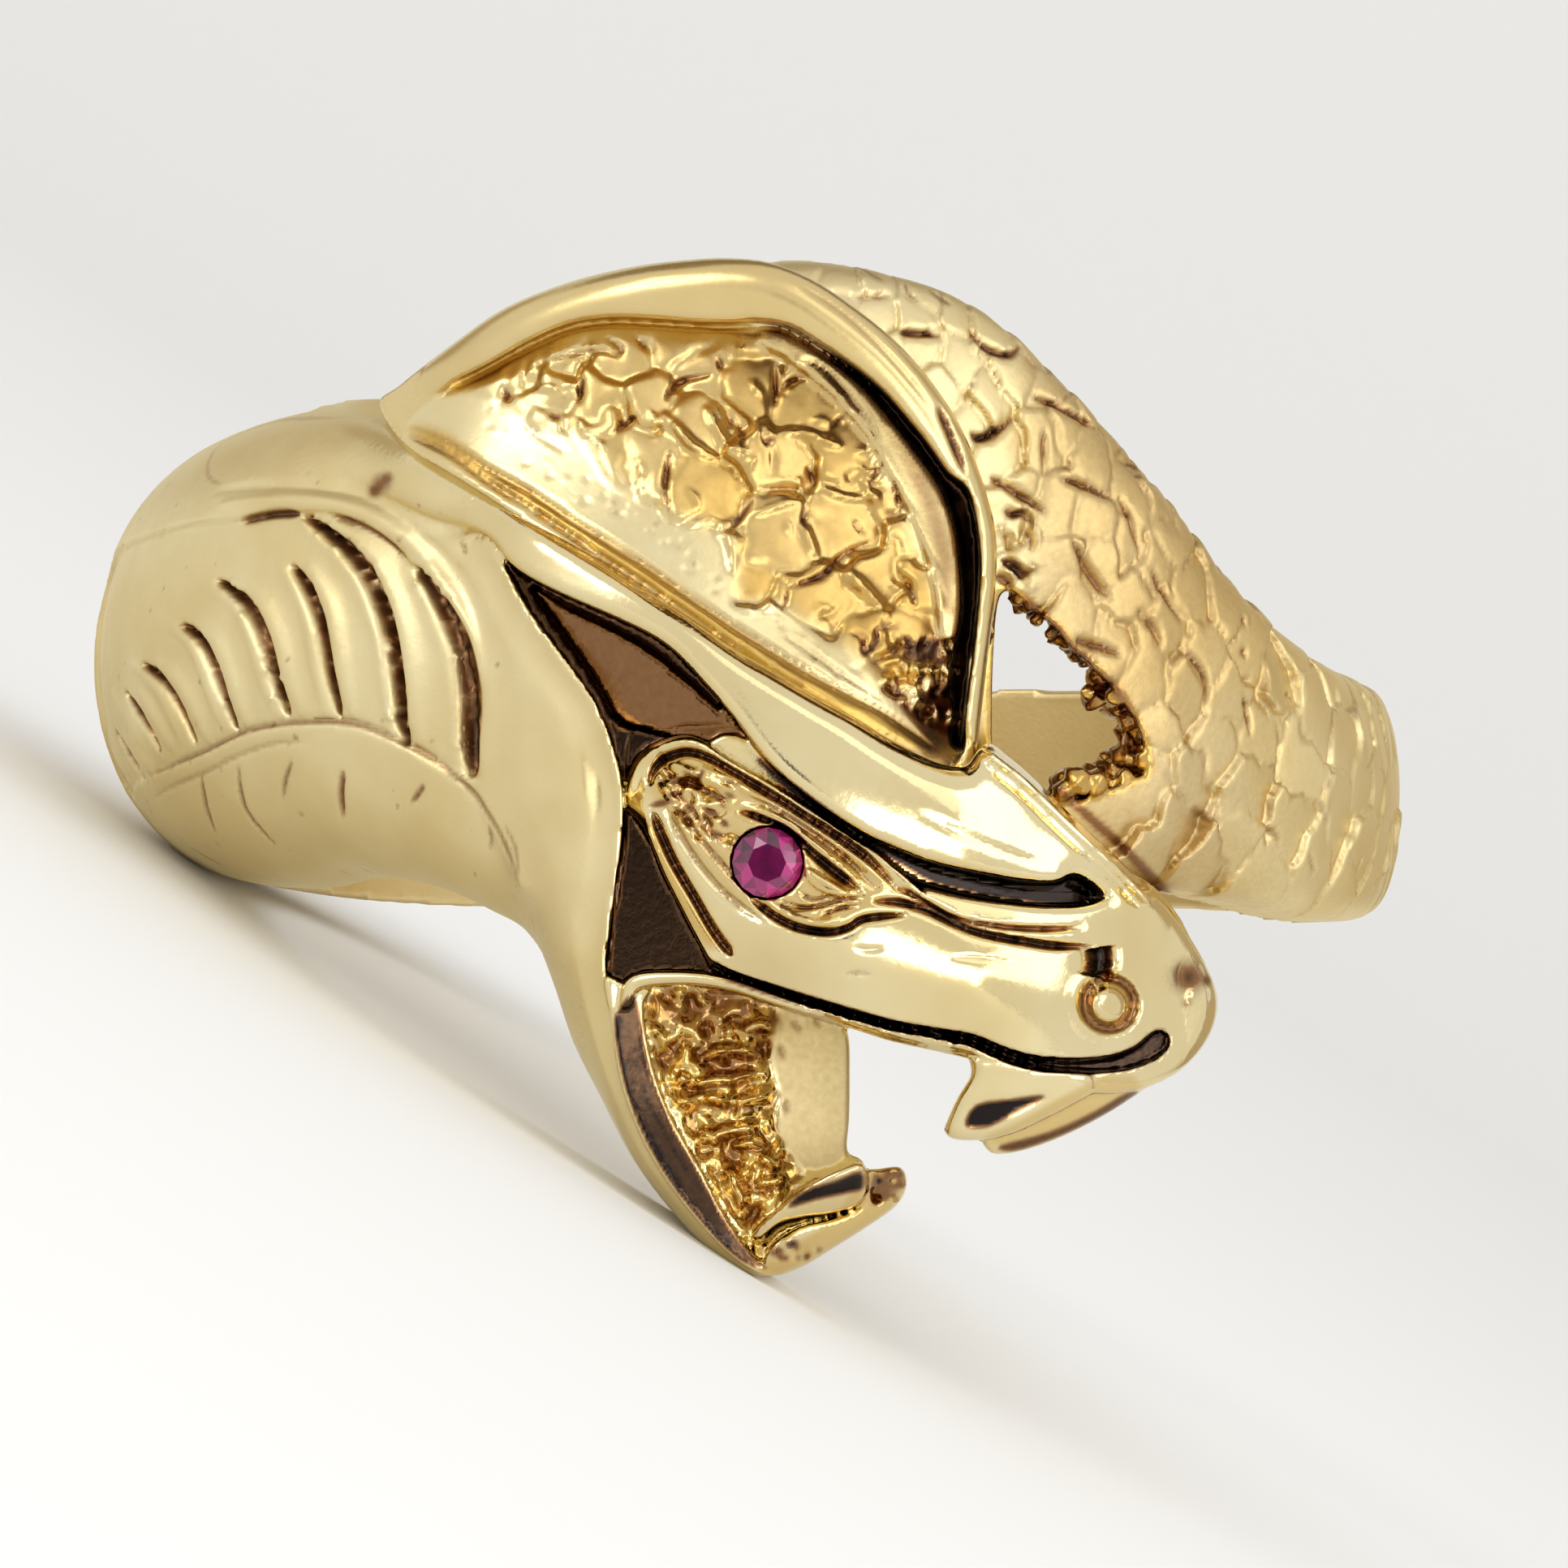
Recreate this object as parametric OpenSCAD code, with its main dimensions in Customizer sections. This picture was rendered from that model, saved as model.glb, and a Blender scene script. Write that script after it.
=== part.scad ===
// Gold serpent finger ring with a round ruby eye, at rest on its side.
//
// Millimetres, +Z up. The ring is first drawn worn: the finger runs along Z,
// the snake's head is at the front (-Y) and X is to the right. Places on it
// are given by an angle round the finger (0 at the front, positive to the
// right), a height along the finger, and a height above the finger hole's
// wall. The whole is then turned into the pose in which it rests by itself:
// rolled to its left, on the lower edge of the belly and the tip of the snake's
// lower jaw.

/* [Finger hole] */
// Radius of the finger hole
bore_r = 9.05; // [8.6:0.05:9.6]
// How far the castings are drawn inside the hole's wall before it is bored
bore_stock = 0.45; // [0.3:0.05:0.6]

/* [Body of the snake] */
// Thickness of the plain shank at the back
shank_t = 1.45; // [1.2:0.05:1.8]
// Thickness of the ribbed belly at the left side
bulge_t = 3.33; // [2.8:0.01:3.6]
// Thickness of the scaled body at the right side
scaled_t = 1.5; // [1.3:0.05:1.9]
// Thickness of the wall behind the open mouth
sleeve_t = 1.0; // [0.8:0.05:1.2]
// Depth of the belly's rib grooves
rib_cut = 0.32; // [0.2:0.02:0.45]
// Half width of a rib groove
rib_w = 0.11; // [0.08:0.01:0.16]

/* [Hood] */
// Thickness of the sunk scaled panel of the hood
panel_t = 1.6; // [1.3:0.05:1.9]
// Height of the hood's rim above the finger hole's wall
rim_h = 3.2; // [2.8:0.05:3.5]

/* [Head] */
// Height of the dorsal ridge above the finger hole's wall
ridge_h = 4.1; // [3.7:0.05:4.5]
// Height of the cheek above the finger hole's wall
cheek_h = 3.85; // [3.5:0.05:4.2]
// Height of the lower jaw's rim above the finger hole's wall
jaw_h = 3.2; // [2.9:0.05:3.5]
// Radius of the nostril's ring
nostril_r = 0.47; // [0.4:0.01:0.55]
// Length of the upper fangs
fang_len = 1.2; // [1.0:0.05:1.5]

/* [Eye] */
// Radius of the ruby at its girdle
ruby_r = 0.57; // [0.5:0.01:0.65]
// Height of the ruby's crown
ruby_crown = 0.17; // [0.12:0.01:0.22]
// Depth of the ruby below its girdle
ruby_depth = 0.5; // [0.4:0.01:0.6]
// Gap between the ruby and its seat
ruby_gap = 0.03; // [0.02:0.01:0.05]

/* [Pose at rest] */
// How far the finger axis leans back
lean_deg = 2.25; // [0:0.01:6]
// How far the ring rolls to its left side
roll_deg = -32.0; // [-38:0.01:-26]
// Shift to the right that centres the footprint
rest_x = 1.295; // [-3:0.001:3]
// Shift to the back that centres the footprint
rest_y = 1.32; // [-3:0.001:3]
// Lift that puts the lowest points on the surface
rest_z = 6.828; // [5:0.001:9]

/* [Colours] */
// Colour of the cast gold
gold = [0.87, 0.73, 0.42]; // [0:0.01:1]
// Colour of the stone
ruby = [0.62, 0.07, 0.33]; // [0:0.01:1]

/* [Hidden] */
// The pieces, in the order in which they are drawn
// Which piece to draw
// Points round half a wrapped band's section
band_n = 12;
// Points round a swept section
sweep_n = 14;
// Slant of each section across its band, in degrees at its edges
slant = 0.9;
// Radius at which the castings start, inside the hole's wall
r_in = bore_r - bore_stock;

// ---------------------------------------------------------------- tables
// Each band row: angle round the finger, lower edge, upper edge, height above
// the hole's wall, squareness of the section (0.5 round, 0.15 boxy).

// The snake's body from behind the hood, round the right side and the back,
// to the belly at the left side and the throat
body_rows = [
    [ -9,  6.20,  8.52, 1.15,        0.30],
    [  0,  3.80,  8.66, 1.60,        0.28],
    [  9,  1.20,  8.44, 1.80,        0.26],
    [ 18, -0.60,  7.90, 1.90,        0.24],
    [ 27, -1.50,  6.62, 1.92,        0.22],
    [ 37, -1.72,  4.96, 1.85,        0.20],
    [ 48, -2.00,  3.30, 1.70,        0.18],
    [ 60, -2.30,  2.30, scaled_t + 0.05, 0.16],
    [ 75, -2.40,  1.88, scaled_t,    0.15],
    [ 92, -2.36,  1.78, scaled_t,    0.15],
    [115, -2.32,  1.75, shank_t,     0.16],
    [150, -2.30,  1.75, shank_t,     0.17],
    [185, -2.30,  1.80, shank_t,     0.18],
    [215, -2.28,  2.30, shank_t + 0.25, 0.22],
    [235, -2.15,  3.50, shank_t + 0.80, 0.28],
    [252, -1.95,  5.00, bulge_t - 0.55, 0.34],
    [264, -1.82,  5.80, bulge_t - 0.10, 0.38],
    [275, -1.80,  6.10, bulge_t,     0.40],
    [287, -1.82,  6.28, bulge_t - 0.03, 0.40],
    [300, -1.78,  6.42, bulge_t - 0.12, 0.38],
    [313, -1.68,  6.50, bulge_t - 0.30, 0.35],
    [325, -2.30,  6.10, bulge_t - 0.50, 0.32],
    [333, -2.90,  4.70, bulge_t - 0.65, 0.30],
    [339, -3.20,  3.40, bulge_t - 0.85, 0.30]
];
// The sunk leaf-shaped panel of the hood, from its left point to its right end
panel_rows = [
    [-36.6,  5.30,  6.45, panel_t + 0.30, 0.25],
    [-30.7,  5.00,  6.85, panel_t + 0.15, 0.20],
    [-24.6,  4.50,  7.60, panel_t, 0.15],
    [-17.7,  3.90,  8.15, panel_t, 0.14],
    [-10.6,  3.20,  8.42, panel_t, 0.14],
    [ -3.6,  2.40,  8.45, panel_t, 0.14],
    [  2.4,  1.80,  8.00, panel_t, 0.14],
    [  8.3,  1.20,  7.00, panel_t, 0.15],
    [ 12.3,  0.70,  5.80, panel_t, 0.18],
    [ 15.4, 0.50, 4.00, panel_t, 0.22]
];
// The wall behind the mouth corner, the eye and the ridge
sleeve_rows = [
    [-33.7, -1.90,  5.40, sleeve_t, 0.15],
    [-26.4, -2.55,  5.10, sleeve_t, 0.15],
    [-19.3, -3.10,  4.70, sleeve_t, 0.15],
    [-11.5, -3.35,  4.20, sleeve_t, 0.15],
    [ -2.7, -3.30,  3.40, sleeve_t, 0.15],
    [  5.5, -3.45,  2.60, sleeve_t, 0.15],
    [ 12.7, -3.60,  1.60, sleeve_t, 0.15],
    [ 19.4, -3.40,  0.10, sleeve_t, 0.15],
    [ 26.3, -2.90, -0.60, sleeve_t, 0.15],
    [ 32.4, -2.30, -1.00, sleeve_t, 0.15]
];
// The floor of the lower jaw, row by row downwards: height along the finger,
// left edge's angle, right edge's angle, height above the hole's wall,
// squareness of the section
jaw_rows = [
    [-2.60, -22.0, -2.0, 1.90, 0.16],
    [-3.40, -20.6,  0.6, 1.85, 0.16],
    [-4.30, -18.6,  3.9, 1.80, 0.16],
    [-5.40, -16.4,  4.1, 1.80, 0.16],
    [-6.10, -14.4,  3.6, 1.85, 0.18],
    [-6.75, -11.6,  3.8, 1.95, 0.22],
    [-7.35,  -8.6,  2.4, 2.05, 0.26],
    [-7.85,  -5.4,  0.3, 2.10, 0.32],
    [-8.06,  -3.6, -1.2, 2.00, 0.40]
];

// Each sweep row: angle round the finger, height along it, height of the
// section's centre above the hole's wall, half width along the surface, half
// thickness away from the finger.

// The hood's rim, from its left point over the top and down its right side
rim_rows = [
    [-36.0,  5.98, rim_h - 1.10, 0.40, 0.90],
    [-31.0,  6.40, rim_h - 1.00, 0.42, 0.95],
    [-25.5,  7.05, rim_h - 1.00, 0.45, 1.00],
    [-18.5,  7.65, rim_h - 1.05, 0.50, 1.05],
    [-11.0,  7.88, rim_h - 1.05, 0.56, 1.05],
    [ -4.0,  7.90, rim_h - 1.05, 0.58, 1.05],
    [  2.0,  7.45, rim_h - 1.05, 0.54, 1.05],
    [  7.0,  6.65, rim_h - 1.10, 0.46, 1.10],
    [ 10.8,  5.70, rim_h - 1.15, 0.36, 1.15],
    [ 13.4,  4.60, rim_h - 1.20, 0.27, 1.20],
    [ 14.5,  3.40, rim_h - 1.20, 0.22, 1.20],
    [ 14.2,  2.20, rim_h - 1.20, 0.21, 1.20],
    [ 13.5,  1.10, rim_h - 1.20, 0.22, 1.20],
    [ 13.0,  0.20, rim_h - 1.15, 0.26, 1.10]
];
// The smooth dorsal ridge from the belly's top, and on over the snake's head
ridge_rows = [
    [-46.0,  5.62, ridge_h - 2.15, 0.45, 1.00],
    [-38.0,  5.50, ridge_h - 1.75, 0.55, 1.15],
    [-30.0,  5.05, ridge_h - 1.45, 0.58, 1.20],
    [-22.5,  4.32, ridge_h - 1.25, 0.55, 1.20],
    [-15.3,  3.48, ridge_h - 1.20, 0.56, 1.20],
    [ -8.2,  2.50, ridge_h - 1.20, 0.58, 1.20],
    [ -2.2,  1.36, ridge_h - 1.20, 0.66, 1.20],
    [  3.4,  0.40, ridge_h - 1.22, 0.84, 1.20],
    [  9.2, -0.24, ridge_h - 1.28, 0.96, 1.20],
    [ 15.0, -0.80, ridge_h - 1.38, 0.90, 1.15],
    [ 21.0, -1.42, ridge_h - 1.55, 0.72, 1.05],
    [ 26.5, -2.10, ridge_h - 1.80, 0.60, 0.90]
];
// The upper jaw: eye capsule, cheek and snout
cheek_rows = [
    [-12.6,  0.35, cheek_h - 2.00, 0.22, 1.60],
    [-10.6, -0.36, cheek_h - 1.95, 0.78, 1.80],
    [ -6.2, -1.32, cheek_h - 1.92, 1.20, 1.95],
    [ -0.2, -1.92, cheek_h - 1.95, 1.22, 2.00],
    [  6.6, -2.48, cheek_h - 2.00, 1.30, 2.05],
    [ 13.6, -3.02, cheek_h - 2.10, 1.45, 2.10],
    [ 20.0, -3.30, cheek_h - 2.25, 1.55, 2.05],
    [ 26.0, -3.42, cheek_h - 2.45, 1.50, 1.90],
    [ 31.0, -3.48, cheek_h - 2.65, 1.12, 1.60],
    [ 33.6, -3.50, cheek_h - 2.75, 0.60, 1.30]
];
// The throat, and on down as the lower jaw's outer rim
throat_rows = [
    [-27.5,  3.90, jaw_h - 1.40, 0.30, 0.90],
    [-26.0,  2.90, jaw_h - 1.15, 0.62, 1.10],
    [-22.6,  1.20, jaw_h - 1.00, 1.02, 1.25],
    [-20.6, -0.20, jaw_h - 0.95, 1.18, 1.30],
    [-19.6, -1.50, jaw_h - 0.95, 0.95, 1.30],
    [-18.8, -2.70, jaw_h - 1.05, 0.66, 1.25],
    [-17.2, -3.80, jaw_h - 1.10, 0.44, 1.20],
    [-15.0, -5.00, jaw_h - 1.10, 0.36, 1.15],
    [-12.0, -6.10, jaw_h - 1.12, 0.34, 1.10],
    [ -7.6, -7.15, jaw_h - 1.15, 0.34, 1.05],
    [ -2.8, -7.78, jaw_h - 1.15, 0.28, 0.95]
];
// The lower jaw's front rim, from the mouth corner along the lip to the right
lip_rows = [
    [-14.5, -3.35, jaw_h - 1.10, 0.20, 0.90],
    [ -9.0, -3.22, jaw_h - 1.10, 0.18, 0.90],
    [ -3.0, -3.40, jaw_h - 1.15, 0.16, 0.90],
    [  3.0, -3.80, jaw_h - 1.20, 0.14, 0.90],
    [  8.5, -4.00, jaw_h - 1.20, 0.12, 0.90]
];
// The open gap between the hood's rim and the scaled body, seen from the
// front: distance to the right, height along the finger
gap_outline = [
    [3.30, 0.70], [3.34, 4.05], [3.62, 4.17], [3.92, 3.60], [4.48, 2.20],
    [4.90, 1.88], [5.32, 1.42], [5.66, 0.82], [5.70, 0.22], [5.30, 0.02],
    [4.70, -0.16], [4.10, 0.10]
];
// The belly's rib grooves, each from its upper end through its middle to its
// lower end: angle and height of each of the three
rib_rows = [
    [-77.8, 0.93, -71.8, 0.53, -68.0, 0.15],
    [-71.5, 1.57, -66.2, 1.05, -63.1, 0.56],
    [-66.6, 1.99, -60.6, 1.48, -56.5, 0.67],
    [-58.8, 2.65, -53.7, 1.82, -50.7, 0.92],
    [-54.2, 3.40, -48.2, 2.72, -44.6, 1.13],
    [-44.5, 3.54, -41.0, 2.70, -39.3, 1.13],
    [-43.2, 4.20, -35.0, 2.82, -32.9, 0.68],
    [-32.3, 3.55, -27.5, 1.87, -27.0, 0.12]
];

// ------------------------------------------------------------- functions
// A point from its angle round the finger, height along it and radius
function at(phi, z, r) = [r * sin(phi), -r * cos(phi), z];
// A power that keeps the sign
function keep(v, p) = sign(v) * pow(abs(v), p);
// A smooth curve through four table rows
function curve(a, b, c, d, t) = 0.5 * (2 * b + (c - a) * t
    + (2 * a - 5 * b + 4 * c - d) * t * t + (3 * b - a - 3 * c + d) * t * t * t);
// A table's row at a share of its length from 0 to 1
function row_at(rows, u) = let (n = len(rows) - 1, i = min(floor(u * n), n - 1))
    curve(rows[max(i - 1, 0)], rows[i], rows[i + 1], rows[min(i + 2, n)], u * n - i);
// A table with steps points between each two rows
function fine(rows, steps) = let (m = (len(rows) - 1) * steps)
    [for (k = [0 : m]) row_at(rows, k / m)];
// A band's section at one row, starting at radius r0
function band_section(w, r0) = [for (k = [0 : band_n]) let (a = 180 * k / band_n)
    at(w[0] + slant * cos(a), (w[1] + w[2]) / 2 - (w[2] - w[1]) / 2 * cos(a),
       r0 + (bore_r + w[3] - r0) * pow(max(sin(a), 0), 2 * w[4]))];
// The belly's height above the hole's wall at an angle and height along it
function belly_h(phi, z) = let (n = len(body_rows) - 1,
    u = lookup(phi + 360, [for (i = [0 : n]) [body_rows[i][0], i]]) / n,
    w = row_at(body_rows, u), c = (2 * z - w[1] - w[2]) / (w[2] - w[1]))
    (bore_r + w[3] - r_in) * pow(max(1 - c * c, 0), w[4]) - bore_stock;
// A level section of the jaw's floor at one row, starting at radius r0
function level_section(w, r0) = [for (k = [0 : band_n]) let (a = 180 * k / band_n)
    at((w[1] + w[2]) / 2 - (w[2] - w[1]) / 2 * cos(a), w[0],
       r0 + (bore_r + w[3] - r0) * pow(max(sin(a), 0), 2 * w[4]))];
// A sweep's section at one row, square to the way the path runs
function sweep_section(rows, i) = let (
    n = len(rows) - 1, w = rows[i], p = rows[max(i - 1, 0)], q = rows[min(i + 1, n)],
    r = bore_r + w[2], run = (q[0] - p[0]) * PI / 180 * r, rise = q[1] - p[1],
    l = sqrt(run * run + rise * rise), ax = [cos(w[0]), sin(w[0]), 0],
    side = (run * [0, 0, 1] - rise * ax) / l, out = at(w[0], 0, 1))
    [for (k = [0 : sweep_n - 1]) let (a = -360 * k / sweep_n)
        at(w[0], w[1], r) + side * w[3] * keep(cos(a), 0.8) + out * w[4] * keep(sin(a), 0.8)];

// --------------------------------------------------------------- modules
// A closed solid through a list of sections with equal numbers of points
module loft(sections) {
    m = len(sections[0]);
    n = len(sections);
    points = [for (s = sections) for (p = s) p];
    sides = [for (i = [0 : n - 2]) for (k = [0 : m - 1]) let (
        a = i * m + k, b = i * m + (k + 1) % m, c = a + m, d = b + m)
        each [[a, b, c], [b, d, c]]];
    caps = [for (k = [1 : m - 2]) each [[0, k + 1, k],
        [(n - 1) * m, (n - 1) * m + k, (n - 1) * m + k + 1]]];
    polyhedron(points = points, faces = concat(sides, caps), convexity = 10);
}
// A band wrapped round the finger, starting deeper inside the hole by extra
module band(rows, steps, extra = 0) loft([for (w = fine(rows, steps)) band_section(w, r_in - extra)]);
// A rounded bar swept along the surface
module sweep(rows, steps) {
    f = fine(rows, steps);
    loft([for (i = [0 : len(f) - 1]) sweep_section(f, i)]);
}
// Children moved to a place on the surface, their Z pointing away from the finger
module on_surface(phi, z, h) translate(at(phi, z, bore_r + h)) rotate([0, 0, phi]) rotate([90, 0, 0]) children();
// The belly's rib grooves, as thin bars along its surface that are cut away
module rib_grooves() for (g = rib_rows)
    sweep([for (k = [0 : 2]) let (phi = g[2 * k], z = g[2 * k + 1])
        [phi, z, belly_h(phi, z), rib_w, rib_cut]], 1);
// The scaled body, shank and belly, with the open gap at the right
module snake_body() difference() {
    band(body_rows, 3);
    translate([0, -5, 0]) rotate([90, 0, 0]) linear_extrude(height = 9) polygon(gap_outline);
    rib_grooves();
}
// The hood's sunk panel and the wall behind the mouth
module hood_panel() band(panel_rows, 2, 0.11);
module mouth_wall() band(sleeve_rows, 2, 0.05);
// The lower jaw's floor
module jaw_floor() loft([for (w = fine(jaw_rows, 2)) level_section(w, r_in - 0.17)]);
// Fangs of the upper and the lower jaw, near one and far one
module fangs() {
    on_surface(19.4, -4.10, 2.75) rotate([0, 0, 205]) rotate([0, 90, 0])
        cylinder(h = fang_len + 0.55, r1 = 0.68, r2 = 0.20, $fn = 32);
    on_surface(22.0, -4.40, 1.35) rotate([0, 0, 208]) rotate([0, 90, 0])
        cylinder(h = fang_len + 0.60, r1 = 0.60, r2 = 0.18, $fn = 32);
    on_surface(-4.6, -7.05, 2.55) rotate([0, 0, 30]) rotate([0, 90, 0])
        cylinder(h = fang_len + 0.65, r1 = 0.52, r2 = 0.22, $fn = 32);
    on_surface(-1.6, -7.25, 1.55) rotate([0, 0, 29]) rotate([0, 90, 0])
        cylinder(h = fang_len + 0.55, r1 = 0.46, r2 = 0.18, $fn = 32);
}
// The cut for the ruby's seat, wider than the stone by the gap
module ruby_seat() on_surface(-2.4, -1.27, cheek_h - 0.42) {
    cylinder(h = 1.2, r = ruby_r + ruby_gap, $fn = 48);
    translate([0, 0, -ruby_depth - ruby_gap])
        cylinder(h = ruby_depth + ruby_gap, r1 = 0.06, r2 = ruby_r + ruby_gap, $fn = 48);
}
// The side nostril: a round pit with a bead in it
module nostril_pit() on_surface(21.4, -3.46, cheek_h - 0.45)
    cylinder(h = 1.5, r = nostril_r, $fn = 40);
module nostril_bead() on_surface(21.4, -3.46, cheek_h - 0.46) sphere(r = nostril_r * 0.55, $fn = 36);

// The castings merged into one smooth shell, before any hole is bored in it
module shell() resize([0, 0, 0]) union() {
    difference() {
        union() {
            snake_body();
            hood_panel();
            mouth_wall();
            jaw_floor();
            sweep(rim_rows, 2);
            sweep(ridge_rows, 2);
            sweep(cheek_rows, 2);
            sweep(throat_rows, 2);
            sweep(lip_rows, 2);
            fangs();
        }
        nostril_pit();
    }
    nostril_bead();
}
// The whole ring as one casting, with its finger hole bored and its eye seat cut
module ring_body() color(gold) difference() {
    shell();
    translate([0, 0, -12]) cylinder(h = 26, r = bore_r, $fn = 180);
    ruby_seat();
}
// The round ruby: table, crown, girdle and pointed pavilion
module eye_ruby() color(ruby) on_surface(-2.4, -1.27, cheek_h - 0.42) {
    cylinder(h = 0.05, r = ruby_r, $fn = 48);
    translate([0, 0, 0.05]) cylinder(h = ruby_crown, r1 = ruby_r, r2 = ruby_r * 0.56, $fn = 48);
    translate([0, 0, -ruby_depth]) cylinder(h = ruby_depth, r1 = 0.03, r2 = ruby_r, $fn = 48);
}
// The pose at rest on the surface
module at_rest() translate([rest_x, rest_y, rest_z]) rotate([0, roll_deg, 0]) rotate([-lean_deg, 0, 0]) children();

at_rest() ring_body();
at_rest() eye_ruby();
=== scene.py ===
"""Gold serpent ring with a ruby eye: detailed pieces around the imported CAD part.

The ring is sculpted in its worn frame, in millimetres: the finger axis is Z,
the snake's head is at the front (-Y) and X is to the right. Each piece is a
closed surface of a field f(x, y, z), positive in the metal, and is moved into
the resting pose of the row frame at the end. Places on the front are given in
the 1932 x 1932 frame of the camera, so outlines lie where the camera sees them.
"""
import math

import bmesh
import bpy
import numpy as np
from mathutils import Matrix, Vector


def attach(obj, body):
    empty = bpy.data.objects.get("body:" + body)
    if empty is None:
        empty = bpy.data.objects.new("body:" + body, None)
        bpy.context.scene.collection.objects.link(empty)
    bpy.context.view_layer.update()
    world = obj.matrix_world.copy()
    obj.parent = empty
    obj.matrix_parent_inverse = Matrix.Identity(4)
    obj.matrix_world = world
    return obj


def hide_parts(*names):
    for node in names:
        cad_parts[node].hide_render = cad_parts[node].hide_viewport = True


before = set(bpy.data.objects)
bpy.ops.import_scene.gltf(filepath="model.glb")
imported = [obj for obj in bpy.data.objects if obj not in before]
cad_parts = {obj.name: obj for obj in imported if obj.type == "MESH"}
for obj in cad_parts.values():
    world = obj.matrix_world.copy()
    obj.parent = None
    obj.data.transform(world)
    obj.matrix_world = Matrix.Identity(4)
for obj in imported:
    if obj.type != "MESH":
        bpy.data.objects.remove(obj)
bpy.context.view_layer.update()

# ------------------------------------------------------------------ frames
LEAN, ROLL = math.radians(2.25), math.radians(-32.0)
SHIFT = np.array([1.295, 1.32, 6.828])
_rx = np.array([[1, 0, 0], [0, math.cos(LEAN), math.sin(LEAN)], [0, -math.sin(LEAN), math.cos(LEAN)]])
_ry = np.array([[math.cos(ROLL), 0, math.sin(ROLL)], [0, 1, 0], [-math.sin(ROLL), 0, math.cos(ROLL)]])
POSE = _ry @ _rx
BORE = 9.05
CAM_D, CAM_X, PPM = 150.0, -0.257, 70.0
PXMM = 75.6  # pixels to a millimetre at the depth of the ring's front


def to_row(p):
    """Worn frame in mm to the row frame in m."""
    return (np.asarray(p, float) @ POSE.T + SHIFT) * 0.001


def pixels(x, y, z):
    k = PPM * CAM_D / (CAM_D + y)
    return 966 + (x - CAM_X) * k, 966 - z * k


# ------------------------------------------------------------------ curves
def curve(pts, n=5, closed=False):
    """Catmull-Rom through points of any number of columns."""
    p = np.asarray(pts, float)
    m = len(p)
    if closed:
        idx = lambda i: p[i % m]
        spans = range(m)
    else:
        idx = lambda i: p[min(max(i, 0), m - 1)]
        spans = range(m - 1)
    out = []
    for i in spans:
        a, b, c, d = idx(i - 1), idx(i), idx(i + 1), idx(i + 2)
        for k in range(n):
            t = k / n
            out.append(0.5 * (2 * b + (c - a) * t + (2 * a - 5 * b + 4 * c - d) * t * t
                              + (3 * b - a - 3 * c + d) * t ** 3))
    if not closed:
        out.append(p[-1])
    return np.array(out)


class Grid:
    """A regular 2-D grid that holds maps."""

    def __init__(self, x0, x1, y0, y1, sx, sy):
        self.x0, self.y0, self.sx, self.sy = x0, y0, sx, sy
        self.x = np.arange(x0, x1 + sx / 2, sx)
        self.y = np.arange(y0, y1 + sy / 2, sy)
        self.shape = (len(self.x), len(self.y))

    def new(self, v=0.0):
        return np.full(self.shape, v, np.float32)

    def window(self, lo, hi):
        i0 = max(int((lo[0] - self.x0) / self.sx), 0)
        i1 = min(int((hi[0] - self.x0) / self.sx) + 2, self.shape[0])
        j0 = max(int((lo[1] - self.y0) / self.sy), 0)
        j1 = min(int((hi[1] - self.y0) / self.sy) + 2, self.shape[1])
        return slice(i0, max(i1, i0)), slice(j0, max(j1, j0))

    def mesh(self, w):
        return np.meshgrid(self.x[w[0]], self.y[w[1]], indexing="ij")


PHOTO = Grid(60, 1780, 270, 1620, 2.0, 2.0)


def seg_dist(gx, gy, line, scale=(1.0, 1.0)):
    """Least distance from grid points to a polyline, with the place along it (0 to 1) and the signed side."""
    best = np.full(gx.shape, 1e9)
    place = np.zeros(gx.shape)
    side = np.ones(gx.shape)
    n = len(line) - 1
    for i in range(n):
        ax, ay = line[i][0] * scale[0], line[i][1] * scale[1]
        bx, by = line[i + 1][0] * scale[0], line[i + 1][1] * scale[1]
        dx, dy = bx - ax, by - ay
        l2 = dx * dx + dy * dy + 1e-12
        t = np.clip(((gx - ax) * dx + (gy - ay) * dy) / l2, 0, 1)
        ex, ey = gx - ax - t * dx, gy - ay - t * dy
        d = ex * ex + ey * ey
        m = d < best
        best[m] = d[m]
        place[m] = ((i + t) / n)[m]
        side[m] = np.sign(dx * ey - dy * ex)[m]
    return np.sqrt(best), place, side


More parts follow.
